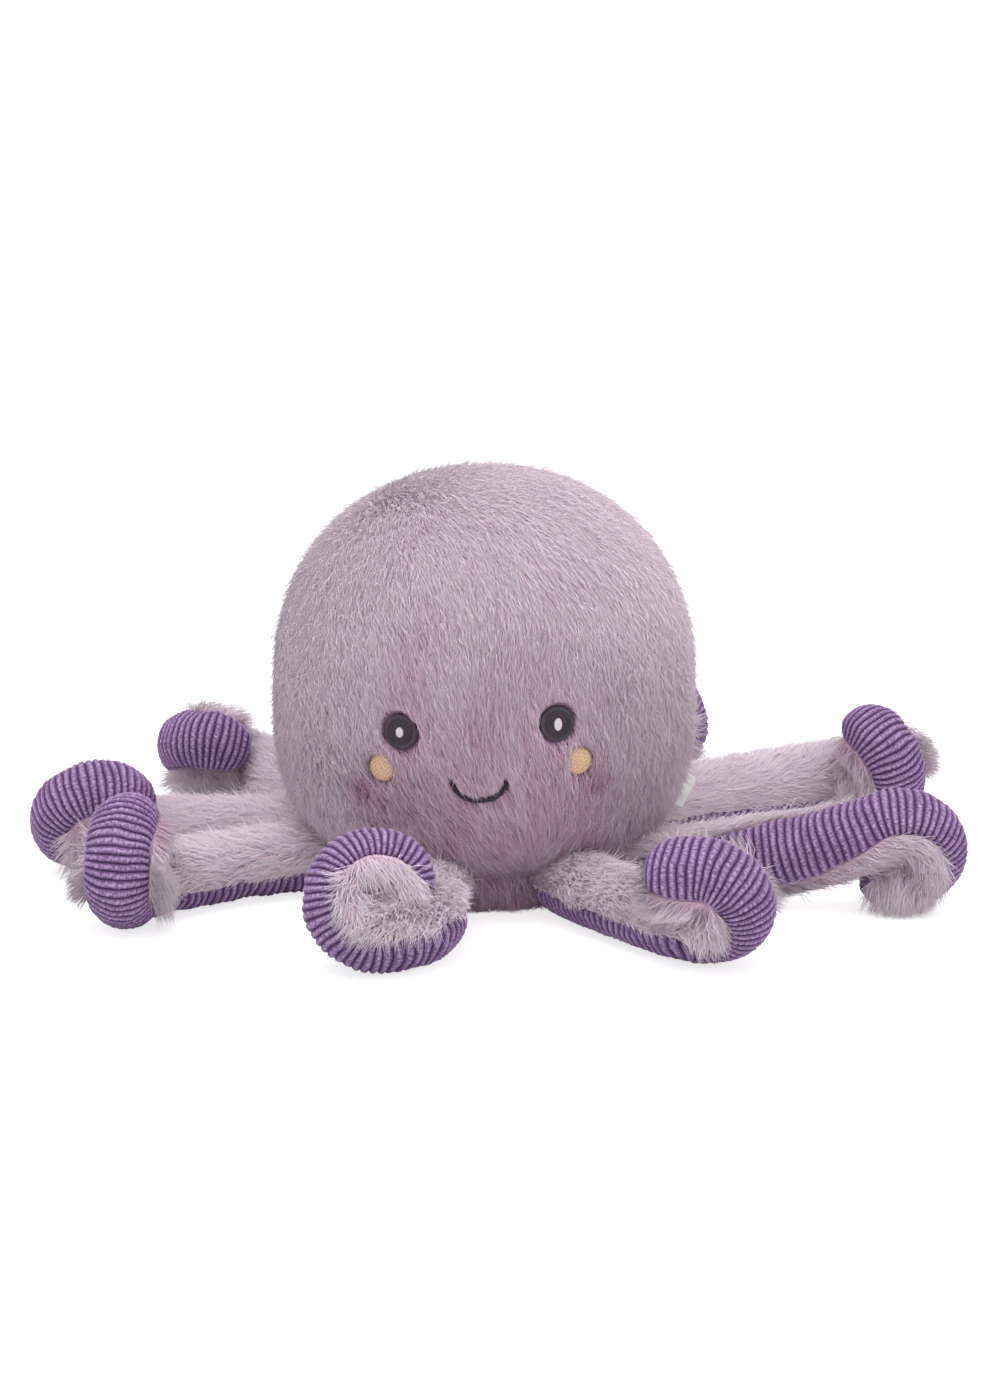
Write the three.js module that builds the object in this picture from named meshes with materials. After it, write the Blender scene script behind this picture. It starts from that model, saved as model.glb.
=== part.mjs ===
// A plush octopus: a stuffed round head sewn from plush panels, eight stuffed arms of plush
// above and corduroy below that curl over at their ends, and an embroidered face.
// Millimetres, +Z up. The origin is the middle of the flat base that the toy sits on.
// The face looks along -Y.
import * as THREE from 'three';

// Head, measured over the dense lower part of the pile
const head_radius = 79;
const crown_rise = 79;
const chin_drop = 71;
const crown_power = 2.2; // 2 is a round outline, and more is squarer
const chin_power = 3;
const rim_angle = 142;
const rim_height_share = 0.8;
const crown_hole_radius = 1.6;
const plush_thickness = 5;
const head_sides = 30;
const head_rows = 11;
const core_sides = 15;
const seam_gap = 0.3;
const fit_gap = 0.35;

// Panels of the head: where each one starts and ends, in degrees from the front
const panel_edge_angles = {
  head_front_panel: [-60, 60],
  head_right_panel: [60, 120],
  head_back_right_panel: [120, 180],
  head_back_left_panel: [180, 240],
  head_left_panel: [240, 300],
};

// Base panel
const base_flat_radius = 40;
const base_thickness = 2.4;
const base_steps = 3;

// Arms, all sewn from one pattern
const arm_half_width = 13;
const arm_half_height = 11.4;
const root_half_width = 9.5;
const arm_floor_gap = 0.5;
const arm_plush_thickness = 4;
const corduroy_thickness = 2.4;
const least_lining_share = 1 / 3;
const arm_run = 100;
const swell_length = 46;
const tip_length = 15;
const tip_width_share = 0.42;
const tip_place_share = 0.2;
const curl_eye_radius = 3.4;
const hook_eye_radius = 11;
const root_tuck = 0.9;
const root_place_shares = [0.08, 0.4, 1];
const run_steps = 4;
const tail_steps = 2;
const roll_step_angle = 11;
const hook_step_angle = 22;
const curl_step_angle = 33;
const walk_steps = 600;

// How each arm lies: the direction of its root around the base and its run as a share of the
// usual one, then in degrees how the run bends, rises and rolls over, how sharply it hooks
// before the curl, and how far the curl turns, strays sideways and twists before its straight
// tail, another share of the usual run. Left turns are positive.
const arm_poses = {
  arm_left: {
    root: 163, run_share: 1.09, bend: 33, rise: 0, roll: 30, hook: 4,
    curl: 268, stray: 12, twist: 10, tail_share: 0,
  },
  arm_front_left: {
    root: 193, run_share: 0.9, bend: 30, rise: 0, roll: 10, hook: 40,
    curl: 210, stray: -25, twist: 0, tail_share: 0,
  },
  arm_back_left: {
    root: 129, run_share: 1.04, bend: 4, rise: 5, roll: 60, hook: 34,
    curl: 240, stray: 0, twist: 0, tail_share: 0,
  },
  arm_back: {
    root: 80, run_share: 1.04, bend: -60, rise: 6, roll: 0, hook: 0,
    curl: 235, stray: 0, twist: 0, tail_share: 0,
  },
  arm_front: {
    root: 254, run_share: 0.54, bend: 20, rise: 0, roll: -24, hook: -82,
    curl: 268, stray: 0, twist: 0, tail_share: 0,
  },
  arm_right: {
    root: 336, run_share: 1.14, bend: 12, rise: 25, roll: 162, hook: 0,
    curl: 250, stray: -40, twist: 0, tail_share: 0,
  },
  arm_front_right: {
    root: 300, run_share: 0.8, bend: 10, rise: 0, roll: 0, hook: 30,
    curl: 168, stray: -70, twist: 0, tail_share: 0.2,
  },
  arm_back_right: {
    root: 43, run_share: 1.26, bend: -11, rise: 0, roll: -24, hook: -94,
    curl: 200, stray: 0, twist: 0, tail_share: 0,
  },
};

// Embroidery: its places are across the face from its middle and below the head's widest ring
const eye_radius = 6.7;
const eye_thickness = 1.2;
const eye_sides = 16;
const eye_left_across = -30.8;
const eye_left_drop = 6.6;
const eye_right_across = 26.7;
const eye_right_drop = 3.3;
const glint_radius = 1.6;
const glint_thickness = 0.5;
const glint_sides = 10;
const cheek_radius = 4.8;
const cheek_thickness = 1;
const cheek_sides = 14;
const cheek_left_across = -38;
const cheek_left_drop = 21.3;
const cheek_right_across = 35;
const cheek_right_drop = 18.3;
const smile_across = -1.6;
const smile_drop = 31.5;
const smile_width = 2.1;
const smile_thickness = 1.2;
const smile_half_length = 9.6;
const smile_sag = 7.2;
const smile_lean_angle = 75;
const smile_steps = 12;

// Care label
const label_height = 37;
const label_width = 14;
const label_length = 30;
const label_thickness = 1;
const label_seat_depth = 0.7;
const label_steps = 4;

// Colours and roughnesses
const finishes = {
  head_plush: { color: '#bda5b9', roughness: 0.95 },
  arm_plush: { color: '#e0cad9', roughness: 0.95 },
  corduroy: { color: '#9475b5', roughness: 0.9 },
  stuffing: { color: '#f4f2ee', roughness: 1 },
  dark_thread: { color: '#3c373e', roughness: 0.6 },
  white_thread: { color: '#f5f4f2', roughness: 0.6 },
  peach_thread: { color: '#e3bb90', roughness: 0.7 },
  label_cloth: { color: '#f6f4f2', roughness: 0.8 },
};

const radians = THREE.MathUtils.degToRad;
const whole_turn = 2 * Math.PI;
const up = new THREE.Vector3(0, 0, 1);

// A closed body from rings of points: each ring is a list of the same length, and the first
// and the last ring are closed by the faces that the cap lists. A four-cornered face is split
// from its start to its far corner, or the other way where its side is crossed, so that a
// lining and what it encloses bend along the same lines.
function bodyFromRings(rings, cap, crossed = () => false) {
  const sides = rings[0].length;
  const positions = [];
  for (const ring of rings) {
    for (const point of ring) {
      positions.push(point.x, point.y, point.z);
    }
  }
  const indices = [];
  for (let row = 0; row + 1 < rings.length; row++) {
    for (let side = 0; side < sides; side++) {
      const next = (side + 1) % sides;
      const low = row * sides;
      const high = low + sides;
      if (crossed(side)) {
        indices.push(low + side, low + next, high + side);
        indices.push(low + next, high + next, high + side);
      } else {
        indices.push(low + side, low + next, high + next);
        indices.push(low + side, high + next, high + side);
      }
    }
  }
  const last = (rings.length - 1) * sides;
  for (const [a, b, c] of cap) {
    indices.push(c, b, a);
    indices.push(last + a, last + b, last + c);
  }
  const geometry = new THREE.BufferGeometry();
  geometry.setAttribute('position', new THREE.Float32BufferAttribute(positions, 3));
  geometry.setIndex(indices);
  geometry.computeVertexNormals();
  return geometry;
}

// The faces that close a ring made of an outer run of points and the same count back inside
function stripCap(count) {
  const faces = [];
  for (let i = 0; i + 1 < count; i++) {
    const back = 2 * count - 1 - i;
    faces.push([i, i + 1, back - 1]);
    faces.push([i, back - 1, back]);
  }
  return faces;
}

// The faces that close a plain ring of points, from its first point
function fanCap(count) {
  const faces = [];
  for (let i = 1; i + 1 < count; i++) {
    faces.push([0, i, i + 1]);
  }
  return faces;
}

// The head's outline: how far from the middle of its widest ring it lies at an angle down
// from the crown
function headReach(polar, inset) {
  const upper = polar <= Math.PI / 2;
  const rise = (upper ? crown_rise : chin_drop) - inset;
  const power = upper ? crown_power : chin_power;
  const across = Math.abs(Math.sin(polar)) / (head_radius - inset);
  const along = Math.abs(Math.cos(polar)) / rise;
  return (across ** power + along ** power) ** (-1 / power);
}

// The head's panels end at a rim, whose height leaves the arms their room below the head
const rim_polar = radians(rim_angle);
const rim_height = arm_floor_gap + rim_height_share * 2 * arm_half_height;
const widest_height = rim_height - headReach(rim_polar, 0) * Math.cos(rim_polar);

function headProfile(polar, inset) {
  const reach = headReach(polar, inset);
  return new THREE.Vector2(reach * Math.sin(polar), widest_height + reach * Math.cos(polar));
}

// A point at an angle around from the front, positive to the right of the viewer
function around(radius, height, angle) {
  return new THREE.Vector3(radius * Math.sin(angle), -radius * Math.cos(angle), height);
}

const rim = headProfile(rim_polar, 0);
const crown_polar = Math.asin(crown_hole_radius / headReach(0, plush_thickness));

function rowPolar(row) {
  return crown_polar + (rim_polar - crown_polar) * row / head_rows;
}

// A panel of the head: a curved sheet of plush between two seams
function headPanel(edges) {
  const start = radians(edges[0]);
  const end = radians(edges[1]);
  const columns = Math.round(head_sides * (end - start) / whole_turn);
  const rings = [];
  for (let column = 0; column <= columns; column++) {
    const outer = [];
    const inner = [];
    for (let row = 0; row <= head_rows; row++) {
      for (const [list, inset] of [[outer, 0], [inner, plush_thickness]]) {
        const place = headProfile(rowPolar(row), inset);
        const shrink = Math.asin(Math.min(1, seam_gap / 2 / place.x));
        const angle = start + shrink + (end - start - 2 * shrink) * column / columns;
        list.push(around(place.x, place.y, angle));
      }
    }
    rings.push([...outer, ...inner.reverse()]);
  }
  return bodyFromRings(rings, stripCap(head_rows + 1));
}

// The base: a flat round of short plush whose edge turns up to the seam below the head
function baseProfile(inset) {
  const points = [];
  const height = rim.y - seam_gap;
  for (let step = 0; step <= base_steps; step++) {
    const angle = Math.PI / 2 * step / base_steps;
    const radius = base_flat_radius - inset + (rim.x - base_flat_radius) * Math.sin(angle);
    points.push(new THREE.Vector2(radius, inset + (height - inset) * (1 - Math.cos(angle))));
  }
  return points;
}

function basePanel() {
  const profile = [
    new THREE.Vector2(0, 0),
    ...baseProfile(0),
    ...baseProfile(base_thickness).reverse(),
    new THREE.Vector2(0, base_thickness),
  ];
  return new THREE.LatheGeometry(profile, head_sides).rotateX(Math.PI / 2);
}

// The fibre filling of the head, from the base panel to the crown
function headStuffing() {
  const bottom = baseProfile(base_thickness + fit_gap).slice(0, -1);
  const profile = [new THREE.Vector2(0, bottom[0].y), ...bottom];
  const inset = plush_thickness + fit_gap;
  for (let row = head_rows; row > 0; row--) {
    profile.push(headProfile(rowPolar(row), inset));
  }
  profile.push(new THREE.Vector2(0, headProfile(0, inset).y));
  return new THREE.LatheGeometry(profile, core_sides).rotateX(Math.PI / 2);
}

// The middle line of an arm starts tucked in under the head's rim, a little above the floor
const root_radius = rim.x - root_tuck;
const root_height = arm_half_height + arm_floor_gap;
const curl_radius = arm_half_height + curl_eye_radius;
const hook_radius = arm_half_width + hook_eye_radius;

// Where an arm's run, its hook, its curl and its straight tail end, measured along it
function armStretches(pose) {
  const run_end = arm_run * pose.run_share;
  const hook_end = run_end + hook_radius * Math.abs(radians(pose.hook));
  const curl_end = hook_end + curl_radius * radians(pose.curl);
  const tail_end = curl_end + arm_run * pose.tail_share;
  return { run_end, hook_end, curl_end, tail_end };
}

function spread(places, from, to, steps) {
  for (let step = 1; step <= steps; step++) {
    places.push(from + (to - from) * step / steps);
  }
}

// The places along an arm at which its section is drawn
function armPlaces(pose, ends) {
  const places = root_place_shares.map((share) => arm_half_height * share);
  const run_count = Math.max(run_steps, Math.ceil(Math.abs(pose.roll) / roll_step_angle));
  spread(places, arm_half_height, ends.run_end, run_count);
  spread(places, ends.run_end, ends.hook_end, Math.ceil(Math.abs(pose.hook) / hook_step_angle));
  spread(places, ends.hook_end, ends.curl_end, Math.ceil(pose.curl / curl_step_angle));
  spread(places, ends.curl_end, ends.tail_end, pose.tail_share > 0 ? tail_steps : 0);
  places.push(ends.tail_end - tip_length * tip_place_share);
  return places.sort((a, b) => a - b);
}

function turnBoth(axis, angle, walker) {
  const steady = axis.clone();
  walker.tangent.applyAxisAngle(steady, angle);
  walker.normal.applyAxisAngle(steady, angle);
}

// One small step along the middle line, which turns the arm's direction and the way that its
// plush side faces
function stepAlong(walker, pose, ends, along, step) {
  const side = walker.tangent.clone().cross(walker.normal).normalize();
  walker.point.addScaledVector(walker.tangent, step);
  if (along < ends.run_end) {
    const share = step / ends.run_end;
    turnBoth(up, radians(pose.bend) * share, walker);
    turnBoth(walker.tangent, -radians(pose.roll) * share, walker);
    const level = walker.tangent.clone().cross(up).normalize();
    turnBoth(level, radians(pose.rise) * share, walker);
  } else if (along < ends.hook_end) {
    const share = step / (ends.hook_end - ends.run_end);
    turnBoth(up, radians(pose.hook) * share, walker);
  } else if (along < ends.curl_end) {
    const share = step / (ends.curl_end - ends.hook_end);
    turnBoth(side, step / curl_radius, walker);
    turnBoth(walker.normal, radians(pose.stray) * share, walker);
    turnBoth(walker.tangent, -radians(pose.twist) * share, walker);
  }
}

// The middle line of an arm: its point, direction and plush side at each drawn place
function armStations(pose) {
  const ends = armStretches(pose);
  const out = radians(pose.root);
  const tangent = new THREE.Vector3(Math.cos(out), Math.sin(out), 0);
  const point = tangent.clone().multiplyScalar(root_radius).setZ(root_height);
  const walker = { point, tangent, normal: up.clone() };
  const step = ends.tail_end / walk_steps;
  const stations = [];
  let along = 0;
  for (const place of armPlaces(pose, ends)) {
    while (along < place - step / 2) {
      stepAlong(walker, pose, ends, along, step);
      along += step;
    }
    stations.push({
      size: armSize(place, ends.tail_end),
      point: walker.point.clone(),
      tangent: walker.tangent.clone(),
      normal: walker.normal.clone(),
    });
  }
  return stations;
}

// Half the width and height of an arm at a place along it: pinched at the root, swelling
// outward and tapering at the tip
function armSize(along, arm_length) {
  const swell = Math.sin(Math.min(1, along / swell_length) * Math.PI / 2);
  const before_root = Math.max(0, arm_half_height - along);
  const past_taper = Math.max(0, 1 - (arm_length - along) / tip_length);
  const taper = tip_width_share + (1 - tip_width_share) * Math.sqrt(1 - past_taper ** 2);
  return {
    width: (root_half_width + (arm_half_width - root_half_width) * swell) * taper,
    height: Math.sqrt(arm_half_height ** 2 - before_root ** 2) * taper,
  };
}

const half_angles = [0, 45, 90, 135, 180].map(radians);

function sectionPoint(station, angle, width, height) {
  const side = station.tangent.clone().cross(station.normal);
  const across = -width * Math.cos(angle);
  const above = height * Math.sin(angle);
  return station.point.clone().addScaledVector(side, across).addScaledVector(station.normal, above);
}

// One of the two sewn strips of an arm: the half above the side seams or the half below
function armStrip(stations, half, thickness) {
  const rings = [];
  for (const station of stations) {
    const { size } = station;
    const outer = [];
    const inner = [];
    for (const [list, inset] of [[outer, 0], [inner, thickness]]) {
      const width = Math.max(size.width - inset, size.width * least_lining_share);
      const height = Math.max(size.height - inset, size.height * least_lining_share);
      const pinch = Math.asin(seam_gap / 2 / height);
      for (const angle of half_angles) {
        const drawn = pinch + angle * (Math.PI - 2 * pinch) / Math.PI;
        list.push(sectionPoint(station, half * drawn, width, height));
      }
    }
    const ring = [...outer, ...inner.reverse()];
    rings.push(half > 0 ? ring : ring.reverse());
  }
  const count = half_angles.length;
  const lining = half > 0 ? (side) => side >= count : (side) => side < count;
  return bodyFromRings(rings, stripCap(count), lining);
}

// The fibre filling of an arm, which stops short of both ends
function armStuffing(stations) {
  const filled = stations.slice(1, -2);
  const rings = filled.map((station) => {
    const ring = [];
    for (const [start, thickness] of [[0, arm_plush_thickness], [Math.PI, corduroy_thickness]]) {
      const width = station.size.width - arm_plush_thickness - fit_gap;
      const height = station.size.height - thickness - fit_gap;
      for (const angle of half_angles.slice(0, -1)) {
        ring.push(sectionPoint(station, start + angle, width, height));
      }
    }
    return ring;
  });
  return bodyFromRings(rings, fanCap(rings[0].length));
}

// How far down from the crown the head's outline has a given height
function placePolar(height) {
  const search_passes = 40;
  let low = 0;
  let high = Math.PI;
  for (let pass = 0; pass < search_passes; pass++) {
    const middle = (low + high) / 2;
    if (headProfile(middle, 0).y > height) {
      low = middle;
    } else {
      high = middle;
    }
  }
  return (low + high) / 2;
}

// A point on the face: across and above a place of the embroidery, and lifted off the plush
function facePoint(place, across, above, lift) {
  const polar = placePolar(widest_height - place.drop);
  const ring_radius = headProfile(polar, 0).x;
  const angle = Math.asin(place.across / ring_radius) + across / ring_radius;
  const spot = headProfile(polar - above / headReach(polar, 0), -lift);
  return around(spot.x, spot.y, angle);
}

// A round pad of embroidery: the rings' shares of its radius and of its thickness
const pad_ring_shares = [[0.45, 0], [1, 0], [1, 0.6], [0.45, 1]];

function stitchedPad(place, radius, lift, thickness, sides) {
  const rings = pad_ring_shares.map(([radius_share, lift_share]) => {
    const ring = [];
    for (let side = 0; side < sides; side++) {
      const angle = whole_turn * side / sides;
      const across = radius * radius_share * Math.cos(angle);
      const above = radius * radius_share * Math.sin(angle);
      ring.push(facePoint(place, across, above, lift + thickness * lift_share));
    }
    return ring;
  });
  return bodyFromRings(rings, fanCap(sides));
}

const section_corners = [[-1, 1], [1, 1], [1, 0], [-1, 0]];

// The smile: a raised line of satin stitch along an arc
function stitchedSmile() {
  const rings = [];
  const place = { across: smile_across, drop: smile_drop };
  for (let step = 0; step <= smile_steps; step++) {
    const share = 2 * step / smile_steps - 1;
    const turned = share * Math.PI / 2;
    const lean = share * radians(smile_lean_angle);
    rings.push(section_corners.map(([side, top]) => {
      const half = side * smile_width / 2;
      const across = smile_half_length * Math.sin(turned) + half * Math.sin(lean);
      const above = smile_sag * (1 - Math.cos(turned)) - half * Math.cos(lean);
      return facePoint(place, across, above, seam_gap + top * smile_thickness);
    }));
  }
  return bodyFromRings(rings, fanCap(section_corners.length));
}

// How far the head's outline, below its widest ring, leans from upright at a height
function outlineLean(height) {
  const radius = headProfile(placePolar(height), 0).x;
  const across = (radius / head_radius) ** (chin_power - 1) / head_radius;
  const down = ((widest_height - height) / chin_drop) ** (chin_power - 1) / chin_drop;
  return Math.atan(down / across);
}

// The care label: a folded tape, left blank, sewn into the seam between the right panel and the
// one behind it. Its width runs along the seam, and it stands square to the plush.
function careLabel() {
  const angle = radians(panel_edge_angles.head_right_panel[1]);
  const lean = outlineLean(label_height);
  const seat = headProfile(placePolar(label_height), label_seat_depth);
  const along = around(Math.cos(lean), -Math.sin(lean), angle);
  const side = around(Math.sin(lean), Math.cos(lean), angle);
  const face = side.clone().cross(along);
  const start = around(seat.x, seat.y, angle);
  const rings = [];
  for (let step = 0; step <= label_steps; step++) {
    const middle = start.clone().addScaledVector(along, label_length * step / label_steps);
    rings.push(section_corners.map(([across, top]) => {
      const corner = middle.clone().addScaledVector(side, across * label_width / 2);
      return corner.addScaledVector(face, (top - 1 / 2) * label_thickness);
    }));
  }
  return bodyFromRings(rings, fanCap(section_corners.length));
}

const group = new THREE.Group();

function add(name, geometry, finish) {
  const material = new THREE.MeshStandardMaterial({ ...finishes[finish], metalness: 0 });
  const mesh = new THREE.Mesh(geometry, material);
  mesh.name = name;
  group.add(mesh);
}

for (const [name, edges] of Object.entries(panel_edge_angles)) {
  add(name, headPanel(edges), 'head_plush');
}
add('base_panel', basePanel(), 'head_plush');
add('head_stuffing', headStuffing(), 'stuffing');
for (const [name, pose] of Object.entries(arm_poses)) {
  const stations = armStations(pose);
  add(`${name}_plush`, armStrip(stations, 1, arm_plush_thickness), 'arm_plush');
  add(`${name}_corduroy`, armStrip(stations, -1, corduroy_thickness), 'corduroy');
  add(`${name}_stuffing`, armStuffing(stations), 'stuffing');
}

const on_plush = seam_gap;
const on_eye = on_plush + eye_thickness + seam_gap;
const pads = {
  eye_left: [eye_left_across, eye_left_drop, eye_radius, on_plush, eye_thickness, eye_sides],
  eye_right: [eye_right_across, eye_right_drop, eye_radius, on_plush, eye_thickness, eye_sides],
  eye_glint_left: [eye_left_across, eye_left_drop, glint_radius, on_eye, glint_thickness, glint_sides],
  eye_glint_right: [eye_right_across, eye_right_drop, glint_radius, on_eye, glint_thickness, glint_sides],
  cheek_left: [cheek_left_across, cheek_left_drop, cheek_radius, on_plush, cheek_thickness, cheek_sides],
  cheek_right: [cheek_right_across, cheek_right_drop, cheek_radius, on_plush, cheek_thickness, cheek_sides],
};
const thread_of = { eye_left: 'dark_thread', eye_right: 'dark_thread' };
for (const [name, [across, drop, ...shape]] of Object.entries(pads)) {
  const thread = name.startsWith('cheek') ? 'peach_thread' : thread_of[name] ?? 'white_thread';
  add(name, stitchedPad({ across, drop }, ...shape), thread);
}
add('smile', stitchedSmile(), 'dark_thread');
add('care_label', careLabel(), 'label_cloth');

export default group;
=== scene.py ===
# %% [markdown]
# # A plush octopus
#
# A stuffed octopus sits on its flat base with eight arms spread around it. Its head is long pile
# plush in dusty mauve, and each arm is pale lilac plush above and violet corduroy below. The
# construction is settled already: every piece has its place, its body and its joints in the
# imported frame. This lesson dresses that frame in fur, corduroy and thread. We start by loading
# the frame, and keep its box, which later sets how far the fur may stand out.

# %% Load the frame
import math

import bpy
import numpy as np
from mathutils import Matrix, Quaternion, Vector

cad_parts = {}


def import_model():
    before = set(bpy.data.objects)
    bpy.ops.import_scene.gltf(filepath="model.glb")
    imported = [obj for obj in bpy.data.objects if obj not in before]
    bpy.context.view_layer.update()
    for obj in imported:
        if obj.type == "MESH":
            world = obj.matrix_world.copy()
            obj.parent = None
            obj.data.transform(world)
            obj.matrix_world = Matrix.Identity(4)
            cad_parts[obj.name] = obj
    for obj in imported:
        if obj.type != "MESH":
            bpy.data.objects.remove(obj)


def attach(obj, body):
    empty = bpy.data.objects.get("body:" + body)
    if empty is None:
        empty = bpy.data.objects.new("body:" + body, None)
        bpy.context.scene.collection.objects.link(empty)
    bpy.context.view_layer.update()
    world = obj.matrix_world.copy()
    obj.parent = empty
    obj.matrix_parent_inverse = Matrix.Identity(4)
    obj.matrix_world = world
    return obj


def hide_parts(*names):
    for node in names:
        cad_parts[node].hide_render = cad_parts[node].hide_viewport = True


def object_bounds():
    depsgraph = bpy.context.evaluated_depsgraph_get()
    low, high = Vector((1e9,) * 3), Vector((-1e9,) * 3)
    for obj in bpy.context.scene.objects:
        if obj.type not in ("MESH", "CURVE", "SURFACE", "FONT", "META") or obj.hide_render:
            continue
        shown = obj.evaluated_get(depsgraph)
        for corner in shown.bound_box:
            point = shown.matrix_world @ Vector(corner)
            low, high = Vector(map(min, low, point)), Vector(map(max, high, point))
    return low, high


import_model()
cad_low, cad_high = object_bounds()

mm = 0.001
print("The bare model measures", [round(side / mm) for side in cad_high - cad_low], "mm")

# %% [markdown]
# ## The camera
#
# The picture was taken from a little above the table with a long lens. A long lens from 1.3 m
# keeps the near arms from looking larger than the far ones. Twelve degrees above level shows
# both the face and the tops of the arms.

# %% Place the camera
camera_place = Vector((0, -1.2716, 0.3563))
camera_tilt = 12.60
camera_turn = 0.275
camera_lens = 85.7


def added(name, data):
    """A new object in the scene."""
    made = bpy.data.objects.new(name, data)
    bpy.context.scene.collection.objects.link(made)
    return made


camera_data = bpy.data.cameras.new("camera")
camera_data.lens = camera_lens
camera = added("camera", camera_data)
camera.location = camera_place
camera.rotation_euler = (math.radians(90 - camera_tilt), 0, math.radians(-camera_turn))
bpy.context.scene.camera = camera
print("Camera with a", camera_lens, "mm lens")

# %% [markdown]
# ## Meshes from arrays
#
# Fur means hundreds of thousands of strands, which are too many to add one by one. Numpy works
# out all the corners of a piece at once, and one helper hands them to Blender. A second helper
# closes a row of rings into a solid skin, which suits every sewn piece here: a panel, a strip, a
# tape or a filling is a ring of points swept along a line.

# %% Helpers for meshes
def mesh_piece(name, points, faces, material, body, replaced=()):
    """faces is a list of arrays, each with one row of corner numbers per face."""
    mesh = bpy.data.meshes.new(name)
    corners = np.concatenate([face.ravel() for face in faces]).astype(np.int32)
    sizes = np.concatenate([np.full(len(face), face.shape[1]) for face in faces])
    starts = np.concatenate([[0], np.cumsum(sizes)[:-1]]).astype(np.int32)
    mesh.vertices.add(len(points))
    mesh.vertices.foreach_set("co", np.asarray(points, np.float32).ravel())
    mesh.loops.add(len(corners))
    mesh.loops.foreach_set("vertex_index", corners)
    mesh.polygons.add(len(sizes))
    mesh.polygons.foreach_set("loop_start", starts)
    mesh.update(calc_edges=True)
    mesh.shade_smooth()
    mesh.materials.append(material)
    piece = added(name, mesh)
    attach(piece, body)
    if replaced:
        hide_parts(*replaced)
    return piece


def ring_faces(ring_count, ring_size):
    """The four-cornered faces between each ring and the next, and a face over each end."""
    row = np.arange(ring_count - 1)[:, None] * ring_size
    side = np.arange(ring_size)[None, :]
    after = (side + 1) % ring_size
    quads = np.stack([row + side, row + after, row + ring_size + after, row + ring_size + side], -1)
    first = np.arange(ring_size)[::-1][None, :]
    last = first[:, ::-1] + (ring_count - 1) * ring_size
    return [quads.reshape(-1, 4), first, last]


def swept_piece(name, rings, material, body, replaced=()):
    """rings is an array of shape (rings, points in a ring, 3)."""
    faces = ring_faces(rings.shape[0], rings.shape[1])
    return mesh_piece(name, rings.reshape(-1, 3), faces, material, body, replaced)


def keep_levels(piece, name, levels):
    """Keeps one number for each corner of a piece, which its finish reads by name."""
    values = levels.ravel().astype(np.float32)
    piece.data.attributes.new(name, "FLOAT", "POINT").data.foreach_set("value", values)


def full_turn(count):
    """Angles once around, as one row."""
    return np.linspace(0, 2 * np.pi, count, endpoint=False)[None, :]


def unit(vectors):
    lengths = np.linalg.norm(vectors, axis=-1, keepdims=True)
    return vectors / np.maximum(lengths, 1e-12)


print("Ready to make meshes")

# %% [markdown]
# ## Uneven cloth
#
# Nothing sewn by hand is even, so most shapes and shades here get a gentle waver. A sum of a few
# sine waves in random directions gives a smooth field of bumps about as large as asked, from -1
# to 1, and the same seed always gives the same field.

# %% A smooth random field
def waver(points, size, seed, waves=7):
    chance = np.random.default_rng(seed)
    directions = unit(chance.normal(size=(waves, 3)))
    rates = 2 * np.pi / (size * chance.uniform(0.7, 1.5, (waves, 1)))
    phases = chance.uniform(0, 2 * np.pi, waves)
    return np.sin(points @ (directions * rates).T + phases).sum(-1) / math.sqrt(waves)


print("A field 20 mm wide at the origin gives", round(float(waver(np.zeros(3), 20 * mm, 1)), 2))

# %% [markdown]
# ## Finishes
#
# Every finish is made from nodes. Colours are written as they look in a picture, in sRGB values
# from 0 to 255, and turned into the linear values that the shader wants.
#
# Fur takes its colour along each strand: dark at the root, where little light comes in, and
# pale at the tip. Each strand has its own small strip of a UV map, whose U runs from root to tip
# and whose V is the strand's tone. Two colour ramps read U, one for the darkest strands and one
# for the palest, and V mixes them. That is cheap.
# A fibre also lets light through, so fur glows where it is seen against the light. Subsurface
# scattering over less than a millimetre does that.

# %% Helpers for finishes
def linear(colour):
    shares = np.asarray(colour, float) / 255
    low, high = shares / 12.92, ((shares + 0.055) / 1.055) ** 2.4
    return (*np.where(shares <= 0.04045, low, high), 1)


def new_finish(name, roughness, sheen=0.0, sheen_roughness=0.5, sheen_colour=(255, 255, 255)):
    material = bpy.data.materials.new(name)
    material.use_nodes = True
    shader = material.node_tree.nodes["Principled BSDF"]
    shader.inputs["Roughness"].default_value = roughness
    shader.inputs["Specular IOR Level"].default_value = 0.2
    shader.inputs["Sheen Weight"].default_value = sheen
    shader.inputs["Sheen Roughness"].default_value = sheen_roughness
    shader.inputs["Sheen Tint"].default_value = linear(sheen_colour)
    return material, shader


def node(material, kind, links=None, **settings):
    """Adds a node. links gives its inputs, each a socket or a value."""
    made = material.node_tree.nodes.new(kind)
    for key, value in settings.items():
        setattr(made, key, value)
    for key, value in (links or {}).items():
        if isinstance(value, bpy.types.NodeSocket):
            material.node_tree.links.new(value, made.inputs[key])
        else:
            made.inputs[key].default_value = value
    return made


def colour_ramp(material, factor, stops):
    """stops is a list of places from 0 to 1, each with its colour."""
    ramp = node(material, "ShaderNodeValToRGB", {"Fac": factor})
    elements = ramp.color_ramp.elements
    while len(elements) < len(stops):
        elements.new(0.5)
    for element, (place, colour) in zip(elements, stops):
        element.position = place
        element.color = linear(colour)
    return ramp.outputs["Color"]


def mixed(material, factor, first, second):
    mix = node(material, "ShaderNodeMix", {"Factor": factor}, data_type="RGBA")
    material.node_tree.links.new(first, mix.inputs[6])
    material.node_tree.links.new(second, mix.inputs[7])
    return mix.outputs[2]


def maths(material, operation, first, second):
    return node(material, "ShaderNodeMath", {0: first, 1: second}, operation=operation).outputs[0]


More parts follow.
